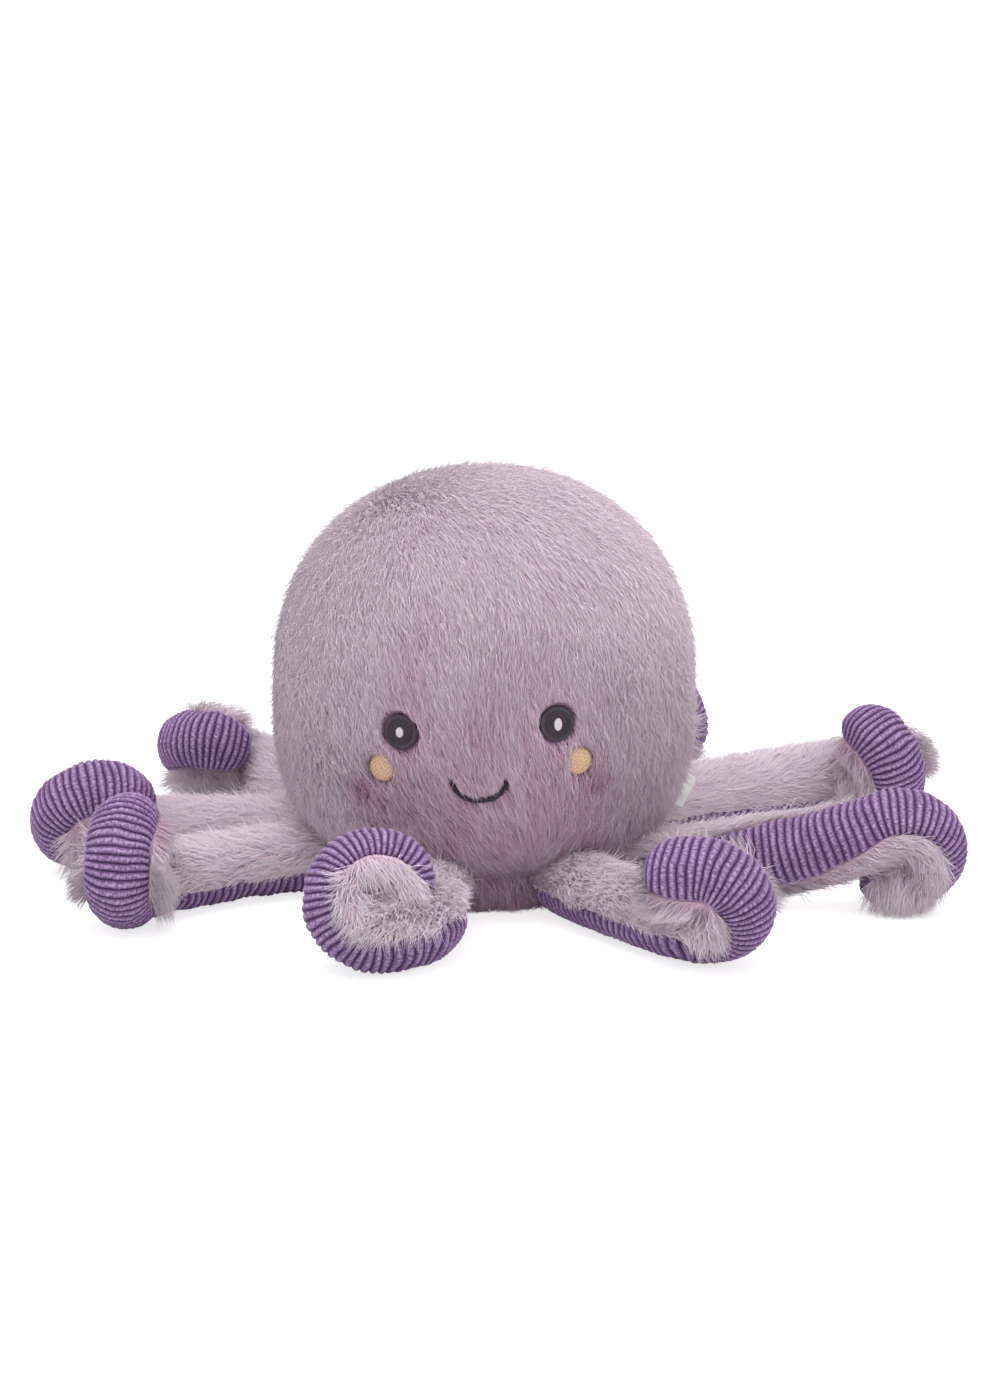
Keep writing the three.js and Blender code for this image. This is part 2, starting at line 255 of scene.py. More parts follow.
def noise(material, place, scale, detail=2.0):
    links = {"Vector": place, "Scale": scale, "Detail": detail}
    return node(material, "ShaderNodeTexNoise", links).outputs["Fac"]


def coloured(material, shader, colour, height=None, strength=0.0, depth=0.0):
    """Gives a finish its colour, and a small bump where a height is given."""
    links = material.node_tree.links
    links.new(colour, shader.inputs["Base Color"])
    if height is not None:
        raised = {"Height": height, "Strength": strength, "Distance": depth}
        normal = node(material, "ShaderNodeBump", raised).outputs["Normal"]
        links.new(normal, shader.inputs["Normal"])
    return material


strand_map = "OFBake"
strip_start = 0.1
strip_span = 0.25


def fur_finish(name, dark, pale, sheen_colour, glow):
    """glow is the share of the light that goes through the strands."""
    material, shader = new_finish(name, 0.85, 0.3, 0.6, sheen_colour)
    shader.inputs["Subsurface Weight"].default_value = glow
    shader.inputs["Subsurface Radius"].default_value = (1.0, 1.0, 1.0)
    shader.inputs["Subsurface Scale"].default_value = 0.4 * mm
    uv = node(material, "ShaderNodeUVMap", uv_map=strand_map).outputs["UV"]
    split = node(material, "ShaderNodeSeparateXYZ", {"Vector": uv})
    spread = {"From Min": strip_start, "From Max": strip_start + strip_span}
    along, tone = [
        node(material, "ShaderNodeMapRange", {"Value": split.outputs[axis], **spread}).outputs[0]
        for axis in ("X", "Y")
    ]
    places = (0.0, 0.45, 1.0)
    darker, paler = [colour_ramp(material, along, list(zip(places, row))) for row in (dark, pale)]
    return coloured(material, shader, mixed(material, tone, darker, paler))


head_fur = fur_finish(
    "head_fur",
    dark=[(112, 68, 100), (208, 156, 187), (243, 199, 225)],
    pale=[(246, 210, 232), (254, 227, 243), (255, 244, 252)],
    sheen_colour=(252, 210, 236),
    glow=0.3,
)
arm_fur = fur_finish(
    "arm_fur",
    dark=[(234, 190, 216), (253, 222, 241), (255, 242, 250)],
    pale=[(250, 220, 239), (255, 237, 248), (255, 250, 254)],
    sheen_colour=(255, 222, 242),
    glow=0.12,
)
print("Two fur finishes")

# %% [markdown]
# Cloth that isn't fur gets its colour from noise: a slow drift of shade, and a fine grain at the
# size of its yarn, which also raises a small bump. The plush's backing is a knit darker than the
# fur and shows only between strands, the filling is white fibre, and the label is woven.

# %% Cloth finishes
def cloth_finish(name, dark, pale, grain, roughness, sheen, bump=0.3, stretch=(1, 1, 1)):
    """grain is the size of the yarn, and stretch draws it out along an axis."""
    material, shader = new_finish(name, roughness, sheen)
    place = node(material, "ShaderNodeTexCoord").outputs["Object"]
    mapped = node(material, "ShaderNodeMapping", {"Vector": place, "Scale": stretch}).outputs[0]
    fine = noise(material, mapped, 1 / grain, 3.0)
    slow = noise(material, place, 0.06 / grain)
    spread = {"Value": maths(material, "ADD", fine, slow), "From Min": 0.6, "From Max": 1.4}
    half = node(material, "ShaderNodeMapRange", spread)
    colour = colour_ramp(material, half.outputs["Result"], [(0.0, dark), (1.0, pale)])
    return coloured(material, shader, colour, fine, bump, grain / 2)


head_knit = cloth_finish("head_knit", (128, 92, 118), (164, 128, 152), 1.2 * mm, 0.95, 0.1)
arm_knit = cloth_finish("arm_knit", (200, 164, 190), (234, 204, 226), 1.2 * mm, 0.95, 0.1)
base_pile = cloth_finish("base_pile", (128, 92, 118), (186, 152, 176), 1.0 * mm, 0.95, 0.3, 0.6)
fibre = cloth_finish("fibre", (214, 212, 206), (246, 245, 241), 1.4 * mm, 1.0, 0.2, 0.5, (1, 1, 5))
tape = cloth_finish("tape", (228, 224, 222), (250, 249, 248), 0.35 * mm, 0.75, 0.1, 0.25, (1, 1, 3))
print("Five cloth finishes")

# %% [markdown]
# ## The head's shape
#
# The head is a round form that is a little square toward its chin. One formula gives its
# outline: a superellipse, where a power of 2 is round and more is squarer. Above the widest ring
# it is nearly round, and below it is fuller. A direction from the middle of the widest ring is
# all that is needed to find a point on it, so scattered strands and embroidery can share it.

# %% The head's outline
head_radius = 79 * mm
crown_rise = 79 * mm
chin_drop = 71 * mm
crown_power = 2.2
chin_power = 3
rim_polar = math.radians(142)
arm_half_width = 13 * mm
arm_half_height = 11.4 * mm
arm_floor_gap = 0.5 * mm
rim_height = arm_floor_gap + 0.8 * 2 * arm_half_height


def head_reach(polar, inset=0.0):
    upper = polar <= np.pi / 2
    rise = np.where(upper, crown_rise, chin_drop) - inset
    power = np.where(upper, crown_power, chin_power)
    across = np.abs(np.sin(polar)) / (head_radius - inset)
    along = np.abs(np.cos(polar)) / rise
    return (across ** power + along ** power) ** (-1 / power)


widest_height = rim_height - float(head_reach(rim_polar)) * math.cos(rim_polar)
head_middle = np.array([0, 0, widest_height])


def head_direction(polar, azimuth):
    """azimuth turns from the face, which looks along -Y, towards +X."""
    across = np.sin(polar)
    return np.stack([across * np.sin(azimuth), -across * np.cos(azimuth), np.cos(polar)], -1)


def head_point(directions, inset=0.0):
    polar = np.arccos(np.clip(directions[..., 2], -1, 1))
    return head_middle + directions * head_reach(polar, inset)[..., None]


def head_normal(points):
    offset = points - head_middle
    upper = offset[..., 2] >= 0
    power = np.where(upper, crown_power, chin_power)
    rise = np.where(upper, crown_rise, chin_drop)
    ring = np.hypot(offset[..., 0], offset[..., 1])
    outward = (ring / head_radius) ** (power - 1) / head_radius
    upward = (np.abs(offset[..., 2]) / rise) ** (power - 1) / rise * np.sign(offset[..., 2])
    flat = unit(offset * np.array([1, 1, 0])) * outward[..., None]
    return unit(flat + upward[..., None] * np.array([0, 0, 1]))


rim_radius = float(head_reach(rim_polar)) * math.sin(rim_polar)
print("The head is widest", round(widest_height / mm, 1), "mm above the table")

# %% [markdown]
# ## The plush's backing
#
# Five sewn panels cover the head. Each is a knitted backing with fur standing on it. The backing
# is modelled a little inside the panel's outer face, to leave the fur its depth, and it dips at
# its edges, where the seams pull it in. These pieces hide the plain solids of the frame, which
# stay for collision.

# %% Head panels
panel_angles = {
    "head_front_panel": (-60, 60),
    "head_right_panel": (60, 120),
    "head_back_right_panel": (120, 180),
    "head_back_left_panel": (180, 240),
    "head_left_panel": (240, 300),
}
fur_depth = 0.5 * mm
plush_thickness = 5 * mm
seam_gap = 0.3 * mm
seam_dip, seam_dip_reach = 0.9 * mm, 1.5 * mm


def head_backing(name, angles):
    start, end = np.radians(angles)
    columns = int(round((end - start) / math.radians(3))) + 1
    share = np.linspace(0, 1, columns)[:, None]
    polar = np.linspace(math.radians(1.5), rim_polar, 44)[None, :]
    rings = []
    for inset, rows in ((fur_depth, polar), (plush_thickness, polar[:, ::-4])):
        ring_radius = head_reach(rows, inset) * np.sin(rows)
        shrink = np.arcsin(np.minimum(1, seam_gap / 2 / ring_radius))
        azimuth = start + shrink + (end - start - 2 * shrink) * share
        points = head_point(head_direction(rows + 0 * azimuth, azimuth), inset)
        from_seam = np.minimum(share, 1 - share) * (end - start) * ring_radius
        dip = seam_dip * np.exp(-from_seam / seam_dip_reach) * (inset == fur_depth)
        rings.append(points - head_normal(points) * dip[..., None])
    rings = np.concatenate(rings, 1)[:, ::-1]
    backing = swept_piece(name, rings, head_knit, "head", [panel_of[name]])
    return backing


panel_of = {name.replace("panel", "backing"): name for name in panel_angles}
for name, panel in panel_of.items():
    head_backing(name, panel_angles[panel])
print(len(panel_of), "panels of backing")

# %% [markdown]
# The base is a flat round whose edge turns up to the head's rim, so the toy sits still. It is
# one lathe form: an outline turned around the upright axis. The filling above it is a soft lump
# that follows the inside of the cover, a little uneven, as stuffing is.

# %% Base and filling
base_flat_radius = 40 * mm
base_thickness = 2.4 * mm
fit_gap = 0.35 * mm
around_count = 96
head_lump_size, head_lump_height = 24 * mm, 1.2 * mm


def base_outline(inset, count):
    turn = np.linspace(0, np.pi / 2, count)
    radius = base_flat_radius - inset + (rim_radius - base_flat_radius) * np.sin(turn)
    height = inset + (rim_height - seam_gap - inset) * (1 - np.cos(turn))
    return np.stack([radius, height], -1)


def turned(outline, count):
    """An outline of (radius, height) points turned around the upright axis, as rows of points."""
    angle = full_turn(count)
    radius, height = outline[:, 0, None], outline[:, 1, None]
    return np.stack([radius * np.sin(angle), -radius * np.cos(angle), height + 0 * angle], -1)


def base_backing():
    outer = base_outline(0, 10)
    inner = base_outline(base_thickness, 10)[::-1]
    middle_radius = 0.5 * mm
    low = [[middle_radius, 0], [base_flat_radius / 2, 0]]
    high = [[base_flat_radius / 2, base_thickness], [middle_radius, base_thickness]]
    rows = turned(np.concatenate([low, outer, inner, high]), around_count)
    return swept_piece("base_backing", rows, base_pile, "head", ["base_panel"])


def head_filling():
    inset = plush_thickness + fit_gap
    polar = np.linspace(rim_polar - math.radians(8), math.radians(1), 60)
    side = head_point(head_direction(polar, 0 * polar), inset)
    low = base_outline(base_thickness + fit_gap, 8)[:-1]
    profile = np.concatenate([low, np.stack([-side[:, 1], side[:, 2]], -1)])
    rows = turned(profile, around_count)
    lumps = 0.5 + 0.5 * np.clip(waver(rows, head_lump_size, 11), -1, 1)
    inward = unit(head_middle - rows)
    rows = rows + inward * (head_lump_height * lumps)[..., None]
    rows[..., 2] = np.maximum(rows[..., 2], base_thickness + fit_gap)
    filling = swept_piece("head_filling", rows, fibre, "head", ["head_stuffing"])
    return filling


base_backing()
head_filling()
print("Base and filling")

# %% [markdown]
# ## How the arms lie
#
# All eight arms are sewn alike but lie differently: each leaves the head in its own direction,
# bends, rolls onto its side a little, hooks, and curls over at its end. An arm's middle line is
# walked in small steps, and at each step its direction and the way its plush side faces are
# turned a little. What comes back is a table of places along the arm, from which any point on
# its skin can be found.

# %% Walk the arms' middle lines
arm_run = 100 * mm
root_half_width = 9.5 * mm
swell_length = 46 * mm
tip_length = 15 * mm
tip_width_share = 0.42
root_tuck = 0.9 * mm
curl_radius = arm_half_height + 3.4 * mm
hook_radius = arm_half_width + 11 * mm
walk_steps = 600

arm_poses = {
    "arm_left": dict(root=163, run=1.09, bend=33, roll=30, hook=4, curl=268, stray=12, twist=10),
    "arm_front_left": dict(root=193, run=0.9, bend=30, roll=10, hook=40, curl=210, stray=-25),
    "arm_back_left": dict(root=129, run=1.04, bend=4, rise=5, roll=60, hook=34, curl=240),
    "arm_back": dict(root=80, run=1.04, bend=-60, rise=6, curl=235),
    "arm_front": dict(root=254, run=0.54, bend=20, roll=-24, hook=-82, curl=268),
    "arm_right": dict(root=336, run=1.14, bend=12, rise=25, roll=162, curl=250, stray=-40),
    "arm_front_right": dict(root=300, run=0.8, bend=10, hook=30, curl=168, stray=-70, tail=0.2),
    "arm_back_right": dict(root=43, run=1.26, bend=-11, roll=-24, hook=-94, curl=200),
}


def walk_arm(pose):
    """Arrays of distance, point, direction and plush side along one arm."""
    angle = {key: math.radians(value) for key, value in pose.items()}
    run_end = arm_run * pose["run"]
    hook_end = run_end + hook_radius * abs(angle.get("hook", 0))
    curl_end = hook_end + curl_radius * angle["curl"]
    length = curl_end + arm_run * pose.get("tail", 0)
    tangent = Vector((math.cos(angle["root"]), math.sin(angle["root"]), 0))
    point = tangent * (rim_radius - root_tuck) + Vector((0, 0, arm_half_height + arm_floor_gap))
    normal = Vector((0, 0, 1))
    step = length / walk_steps
    rows = [[0.0, *point, *tangent, *normal]]

    def turn(axis, amount):
        turning = Quaternion(axis, amount)
        tangent.rotate(turning)
        normal.rotate(turning)

    for count in range(walk_steps):
        along = count * step
        side = tangent.cross(normal).normalized()
        point += tangent * step
        if along < run_end:
            share = step / run_end
            turn((0, 0, 1), angle.get("bend", 0) * share)
            turn(tangent.copy(), -angle.get("roll", 0) * share)
            turn(tangent.cross((0, 0, 1)).normalized(), angle.get("rise", 0) * share)
        elif along < hook_end:
            turn((0, 0, 1), angle["hook"] * step / (hook_end - run_end))
        elif along < curl_end:
            share = step / (curl_end - hook_end)
            turn(side, step / curl_radius)
            turn(normal.copy(), angle.get("stray", 0) * share)
            turn(tangent.copy(), -angle.get("twist", 0) * share)
        rows.append([along + step, *point, *tangent, *normal])
    return np.array(rows)


arms = {name: walk_arm(pose) for name, pose in arm_poses.items()}
for name, arm in arms.items():
    print(name, "is", round(arm[-1, 0] / mm), "mm long")

# %% [markdown]
# An arm's section is an oval, a little wider than it is high. It is pinched where it is sewn in
# under the head, swells outward and tapers at the tip. Angles around it run from one side seam
# over the plush to the other seam at half a turn, and on below through the corduroy.

# %% A point on an arm's skin
def arm_size(along, length):
    swell = np.sin(np.minimum(1, along / swell_length) * np.pi / 2)
    before_root = np.maximum(0, arm_half_height - along)
    past_taper = np.clip(1 - (length - along) / tip_length, 0, 1)
    taper = tip_width_share + (1 - tip_width_share) * np.sqrt(1 - past_taper ** 2)
    width = (root_half_width + (arm_half_width - root_half_width) * swell) * taper
    height = np.sqrt(arm_half_height ** 2 - before_root ** 2) * taper
    return width, height


def arm_axes(arm, along):
    """Point, direction, plush side and sideways direction at places along an arm."""
    columns = [np.interp(along, arm[:, 0], arm[:, k]) for k in range(1, 10)]
    table = np.stack(columns, -1)
    tangent = unit(table[..., 3:6])
    side = unit(np.cross(tangent, table[..., 6:9]))
    return table[..., 0:3], tangent, np.cross(side, tangent), side


def arm_skin(arm, along, around, inset=0.0):
    """Points on an arm's skin and the directions that they face."""
    point, tangent, normal, side = arm_axes(arm, along)
    width, height = arm_size(along, arm[-1, 0])
    across = -np.cos(around)
    above = np.sin(around)
    inner_width = np.maximum(width - inset, width * 0.3)
    inner_height = np.maximum(height - inset, height * 0.3)
    skin = point + side * (inner_width * across)[..., None]
    skin = skin + normal * (inner_height * above)[..., None]
    facing = side * (across / width)[..., None] + normal * (above / height)[..., None]
    return skin, unit(facing), tangent


sample = arm_skin(arms["arm_front"], np.array([50 * mm]), np.array([np.pi / 2]))[0][0]
print("The front arm's back is", round(sample[2] / mm, 1), "mm high at 50 mm from its root")

# %% [markdown]
# ## Corduroy
#
# The underside of each arm is wide wale corduroy. Its ribs cross the arm from seam to seam, each
# a soft round cord over 3 mm wide with a deep narrow groove beside it. On a cloth this coarse
# the ribs break the outline, so they are real geometry, and a bump map would look flat. The rows
# of points crowd together at the grooves, where the shape turns quickly. Along each rib the pile
# is bobbly, so the surface wavers a little at 1 mm as well.
#
# The groove's depth is also kept as an attribute, which the finish uses for painted shade in the
# grooves and a painted highlight on the crowns and bobbles.

# %% The corduroy's finish
def corduroy_finish():
    material, shader = new_finish("corduroy", 0.9, 0.35, 0.4, (214, 190, 228))
    place = node(material, "ShaderNodeTexCoord").outputs["Object"]
    crown = node(material, "ShaderNodeAttribute", attribute_name="crown").outputs["Fac"]
    pile = noise(material, place, 1500.0, 3.0)
    shade = maths(material, "MULTIPLY", pile, 0.5)
    drift = maths(material, "MULTIPLY", noise(material, place, 90.0), 0.25)
    # Painted shade and highlight: the crown attribute darkens the grooves and lightens the rib
    # crowns.
    level = maths(material, "ADD", crown, maths(material, "ADD", shade, drift))
    both = maths(material, "SUBTRACT", level, 0.37)
    stops = [
        (0.0, (51, 32, 62)),
        (0.35, (93, 64, 108)),
        (0.7, (140, 108, 154)),
        (1.0, (196, 167, 210)),
    ]
    return coloured(material, shader, colour_ramp(material, both, stops), pile, 0.6, 0.3 * mm)


corduroy = corduroy_finish()
print("Corduroy finish")

# %% The corduroy strips
rib_pitch = 3.35 * mm
groove_depth = 1.1 * mm
corduroy_thickness = 2.4 * mm
rib_places = np.array([0, 0.06, 0.13, 0.24, 0.37, 0.5, 0.63, 0.76, 0.87, 0.94])
corduroy_columns = 79
bead_length = 1.35 * mm
bobble_height = 0.26 * mm
fold_height = 0.5 * mm
seam_tuck, seam_tuck_reach = 1.5 * mm, 1.2 * mm
tip_tuck, tip_tuck_reach = 1.5 * mm, 1.5 * mm
lowest_cloth = 0.1 * mm


def cloth_distance(arm):
    """Distance along the outside of an arm's corduroy for each step of its walk."""
    ridge = arm_skin(arm, arm[:, 0], np.full(len(arm), 1.5 * np.pi))[0]
    return np.append(0, np.cumsum(np.linalg.norm(np.diff(ridge, axis=0), axis=1)))


def corduroy_strip(name, arm):
    length = arm[-1, 0]
    cloth = cloth_distance(arm)
    ribs = int(cloth[-1] / rib_pitch)
    pitch = cloth[-1] / ribs
    distance = ((np.arange(ribs)[:, None] + rib_places[None, :]) * pitch).ravel()
    distance = np.append(distance[distance > root_tuck], cloth[-1])[:, None]
    along = np.interp(distance, cloth, arm[:, 0])
    share = np.linspace(0, 1, corduroy_columns)[None, :]
    around = np.pi * (1 + share)
    seed = sorted(arms).index(name)
    chance = np.random.default_rng(700 + seed)
    skin, facing, _ = arm_skin(arm, along, around + 0 * along)
    wander = 0.35 * mm * waver(skin, 14 * mm, 100 + seed)
    phase = (distance + wander) / pitch
    crown = np.abs(np.sin(np.pi * phase)) ** 0.6
    shift = chance.uniform(0, 2 * np.pi, ribs + 2)[np.clip(phase.astype(int), 0, ribs)]
    across = share * np.pi * arm_half_width + 0.5 * mm * waver(skin, 5 * mm, 150 + seed)
    beads = 0.5 * np.sin(2 * np.pi * across / bead_length + shift)
    beads = beads + 0.6 * waver(skin, 1.4 * mm, 200 + seed, 11)
    bobbles = bobble_height * beads * crown
    folds = fold_height * waver(skin, 19 * mm, 300 + seed)
    from_seam = np.minimum(share, 1 - share) * np.pi * arm_half_width
    tuck = seam_tuck * np.exp(-from_seam / seam_tuck_reach)
    end_tuck = tip_tuck * np.exp(-(length - along) / tip_tuck_reach)
    inset = groove_depth * (1 - crown) - bobbles + tuck + end_tuck - 0.3 * mm + np.abs(folds)
    outer = skin - facing * inset[..., None]
    inner_around = around[:, ::-6] + 0 * along
    inner = arm_skin(arm, along + 0 * inner_around, inner_around, corduroy_thickness)[0]
    rings = np.concatenate([outer, inner], 1)
    rings[..., 2] = np.maximum(rings[..., 2], lowest_cloth)
    strip = swept_piece(name + "_ribs", rings, corduroy, name, [name + "_corduroy"])
    # Rib and bobble height, which the finish turns into painted shade in the grooves and painted
    # highlight on the crowns.
    levels = crown * (0.84 + 0.2 * beads)
    keep_levels(strip, "crown", np.concatenate([levels, 0 * inner[..., 0]], 1))
    lay_flat(strip, rings.shape[0], rings.shape[1])
    return strip


def lay_flat(piece, ring_count, ring_size):
    """A map with the strip's length along U and its girth along V."""
    corners = np.zeros(len(piece.data.loops), np.int32)
    piece.data.loops.foreach_get("vertex_index", corners)
    row, column = corners // ring_size, corners % ring_size
    faces = (ring_count - 1) * ring_size
    wraps = np.zeros(len(corners), bool)
    last_column = np.tile(np.arange(ring_size) == ring_size - 1, ring_count - 1)
    wraps[: 4 * faces] = np.repeat(last_column, 4)
    column = np.where(wraps & (column == 0), ring_size, column)
    uv = np.stack([0.01 + 0.98 * row / (ring_count - 1), 0.01 + 0.98 * column / ring_size], -1)
    layer = piece.data.uv_layers.new(name=strand_map)
    layer.data.foreach_set("uv", uv.astype(np.float32).ravel())


for name, arm in arms.items():
    strip = corduroy_strip(name, arm)
print("Corduroy on", len(arms), "arms,", len(strip.data.polygons), "faces on the last one")

# %% [markdown]
# Inside each arm is a sausage of filling, and over it the knitted backing of its plush side. Both
# are swept along the same line as the corduroy.

# %% Backing and filling of the arms
arm_fur_depth = 0.6 * mm
arm_plush_thickness = 4 * mm
arm_filling_inset = 4.5 * mm
arm_lump_size, arm_lump_height = 15 * mm, 0.8 * mm


def arm_backing(name, arm):
    length = arm[-1, 0]
    along = np.linspace(root_tuck, length, 90)[:, None]
    share = np.linspace(0.01, 0.99, 25)[None, :]
    around = np.pi * share + 0 * along
    outer = arm_skin(arm, along + 0 * around, around, arm_fur_depth)[0]
    around = around[:, ::-4]
    inner = arm_skin(arm, along + 0 * around, around, arm_plush_thickness)[0]
    rings = np.concatenate([outer, inner], 1)
    backing = swept_piece(name + "_backing", rings, arm_knit, name, [name + "_plush"])
    return backing


def arm_filling(name, arm):
    length = arm[-1, 0]
    along = np.linspace(arm_half_height * 0.4, length - 6 * mm, 70)[:, None]
    around = full_turn(24) + 0 * along
    along = along + 0 * around
    lumps = 0.5 + 0.5 * np.clip(waver(np.stack([along] * 3, -1), arm_lump_size, 21), -1, 1)
    rings = arm_skin(arm, along, around, arm_filling_inset + arm_lump_height * lumps)[0]
    replaced = [name + "_stuffing"]
    filling = swept_piece(name + "_filling", rings, fibre, name, replaced)
    return filling


for name, arm in arms.items():
    arm_backing(name, arm)
    arm_filling(name, arm)
print("Backing and filling in", len(arms), "arms")

# %% [markdown]
# ## Embroidery
#
# Eyes, cheeks and smile are machine embroidery: rows of shiny thread laid side by side until
# they cover a shape. An eye is a dark disc of fill stitches with a raised satin border around
# it, whose threads run outward like spokes, and a small white glint. Each pad is a round form
# that follows the head, with the threads as real ridges in its surface. The pads sit low in the
# fur, so each reaches down to the backing.

# %% Thread finishes
def thread_finish(name, dark, pale, roughness):
    """Painted shade: darker between the threads, by the height that each pad keeps as an attribute.
    """
    material, shader = new_finish(name, roughness)
    shader.inputs["Specular IOR Level"].default_value = 0.35
    place = node(material, "ShaderNodeTexCoord").outputs["Object"]
    fuzz = noise(material, place, 2600.0)
    level = node(material, "ShaderNodeAttribute", attribute_name="thread").outputs["Fac"]
    grain = maths(material, "ADD", maths(material, "MULTIPLY", level, 0.55), fuzz)
    shade = maths(material, "SUBTRACT", grain, 0.25)
    colour = colour_ramp(material, shade, [(0.0, dark), (1.0, pale)])
    return coloured(material, shader, colour, fuzz, 0.4, 0.12 * mm)


dark_thread = thread_finish("dark_thread", (18, 14, 19), (88, 78, 86), 0.6)
white_thread = thread_finish("white_thread", (196, 192, 196), (244, 241, 244), 0.5)
peach_thread = thread_finish("peach_thread", (206, 158, 122), (252, 222, 190), 0.6)
print("Three thread finishes")

# %% Places on the face
def polar_at(height):
    """How far down from the crown the head's outline has this height."""
    polar = np.linspace(0.01, math.pi - 0.01, 4000)
    heights = widest_height + head_reach(polar) * np.cos(polar)
    return float(np.interp(-height, -heights, polar))


def face_point(place, across, above, lift):
    """A point across and above a place on the face, lifted off the head's outline."""
    polar = polar_at(widest_height - place[1] * mm)
    reach = float(head_reach(polar))
    ring_radius = reach * math.sin(polar)
    azimuth = math.asin(place[0] * mm / ring_radius) + across / ring_radius
    return head_point(head_direction(polar - above / reach + 0 * azimuth, azimuth), -lift)


eye_places = {"left": (-30.8, 6.6), "right": (26.7, 3.3)}
cheek_places = {"left": (-38, 21.3), "right": (35, 18.3)}
smile_place = (-1.6, 31.5)
eye_radius = 6.7 * mm
cheek_radius = 4.8 * mm
glint_radius = 1.5 * mm
glint_heights = {"left": 1.25, "right": 1.55}
thread_relief = 0.2 * mm
print("The left eye is at", np.round(face_point(eye_places["left"], 0.0, 0.0, 0.0) / mm, 1))

# %% Stitched pads
def stitched_pad(name, place, radius, bottom, top, threads, thread_shape, material, slot,
                 wider=1.0, taller=1.0):
    """thread_shape(share of the radius, angle, across, above) gives the height of the threads."""
    turn = full_turn(4 * threads)
    share = np.concatenate([np.linspace(0.02, 0.9, 30), [0.94, 0.975, 1.0]])[:, None]
    across = radius * share * np.cos(turn) * wider
    above = radius * share * np.sin(turn) * taller
    edge = np.sqrt(np.maximum(0, 1 - share ** 6))
    relief = thread_shape(share, turn, across, above)
    lift = bottom + (top - bottom) * (0.55 + 0.45 * edge) + relief
    crown = face_point(place, across, above, lift)
    under = face_point(place, across[-1:], above[-1:], bottom + 0 * lift[-1:])
    floor = face_point(place, across[:1], above[:1], bottom + 0 * lift[:1])
    rows = np.concatenate([crown, under, floor])[:, ::-1]
    pad = swept_piece(name + "_stitching", rows, material, "head", [name])
    relief = np.concatenate([relief, relief[-1:], relief[:1]])[:, ::-1]
    # Thread height, which the finish turns into painted shade between the threads.
    keep_levels(pad, "thread", relief / thread_relief + 0.5)
    return pad


def satin_border(share, turn, across, above):
    spokes = 0.12 * mm * np.cos(turn * 64 + 2 * np.sin(3 * turn))
    rows = 0.10 * mm * np.cos(2 * np.pi * (across * 0.35 + above) / (0.6 * mm))
    bulge = np.clip(1 - ((share - 0.86) / 0.15) ** 2, 0, 1)
    return np.where(bulge > 0, spokes + 0.45 * mm * np.sqrt(bulge) - 0.2 * mm, rows - 0.05 * mm)


def fill_rows(share, turn, across, above):
    grain = waver(np.stack([across, above, 0 * across], -1), 0.9 * mm, 31, 9)
    return 0.08 * mm * np.cos(2 * np.pi * (above + across * 0.4) / (0.7 * mm)) + 0.08 * mm * grain


def plain_rows(share, turn, across, above):
    return 0.05 * mm * np.cos(2 * np.pi * across / (0.42 * mm)) + 0 * above


eye_look = (-2 * mm, 1.2 * mm, 168, satin_border, dark_thread, "dark_thread")
glint_look = (1.0 * mm, 1.75 * mm, 24, plain_rows, white_thread, "white_thread")
cheek_look = (-2 * mm, 1.2 * mm, 60, fill_rows, peach_thread, "peach_thread")
for side in ("left", "right"):
    stitched_pad("eye_" + side, eye_places[side], eye_radius, *eye_look, wider=1.05, taller=1.03)
    tall = glint_heights[side]
    stitched_pad("eye_glint_" + side, eye_places[side], glint_radius, *glint_look, taller=tall)
    stitched_pad("cheek_" + side, cheek_places[side], cheek_radius, *cheek_look, 1.12, 1.1)
print("Eyes, glints and cheeks")

# %% [markdown]
# The smile is one line of satin stitch: short threads laid across an arc, so close that they
# read as a cord. It is swept along the arc with a ridge for each thread.

# %% The smile
smile_half_length = 9.6 * mm
smile_sag = 7.2 * mm
smile_half_width = 0.85 * mm
smile_threads = 62


def smile_line(share):
    """Across and above for shares from -1 at one end of the smile to 1 at the other."""
    turn = share * np.pi / 2
    return smile_half_length * np.sin(turn), smile_sag * (1 - np.cos(turn))


def smile():
    share = np.linspace(-1, 1, smile_threads * 6)[:, None]
    across, above = smile_line(share)
    lean = share * math.radians(75)
    turn = full_turn(16)
    ends = np.sqrt(np.clip((1.02 - np.abs(share)) / 0.05, 0.15, 1))
    ridges = 1 + 0.09 * np.cos(np.pi * smile_threads * (share + 1))
    half = smile_half_width * ends * ridges * np.cos(turn)
    lift = 0.5 * mm + np.where(np.sin(turn) > 0, 1.1 * mm * ends * ridges, 2.7 * mm) * np.sin(turn)
    across, above = across + half * np.sin(lean), above - half * np.cos(lean)
    points = face_point(smile_place, across, above, lift)
    line = swept_piece("smile_stitching", points, dark_thread, "head", ["smile"])
    # Thread height, which the finish turns into painted shade between the threads.
    keep_levels(line, "thread", 0.5 + 6 * (ridges - 1) + 0 * turn)
    return line


smile()
print("Smile of", smile_threads, "threads")

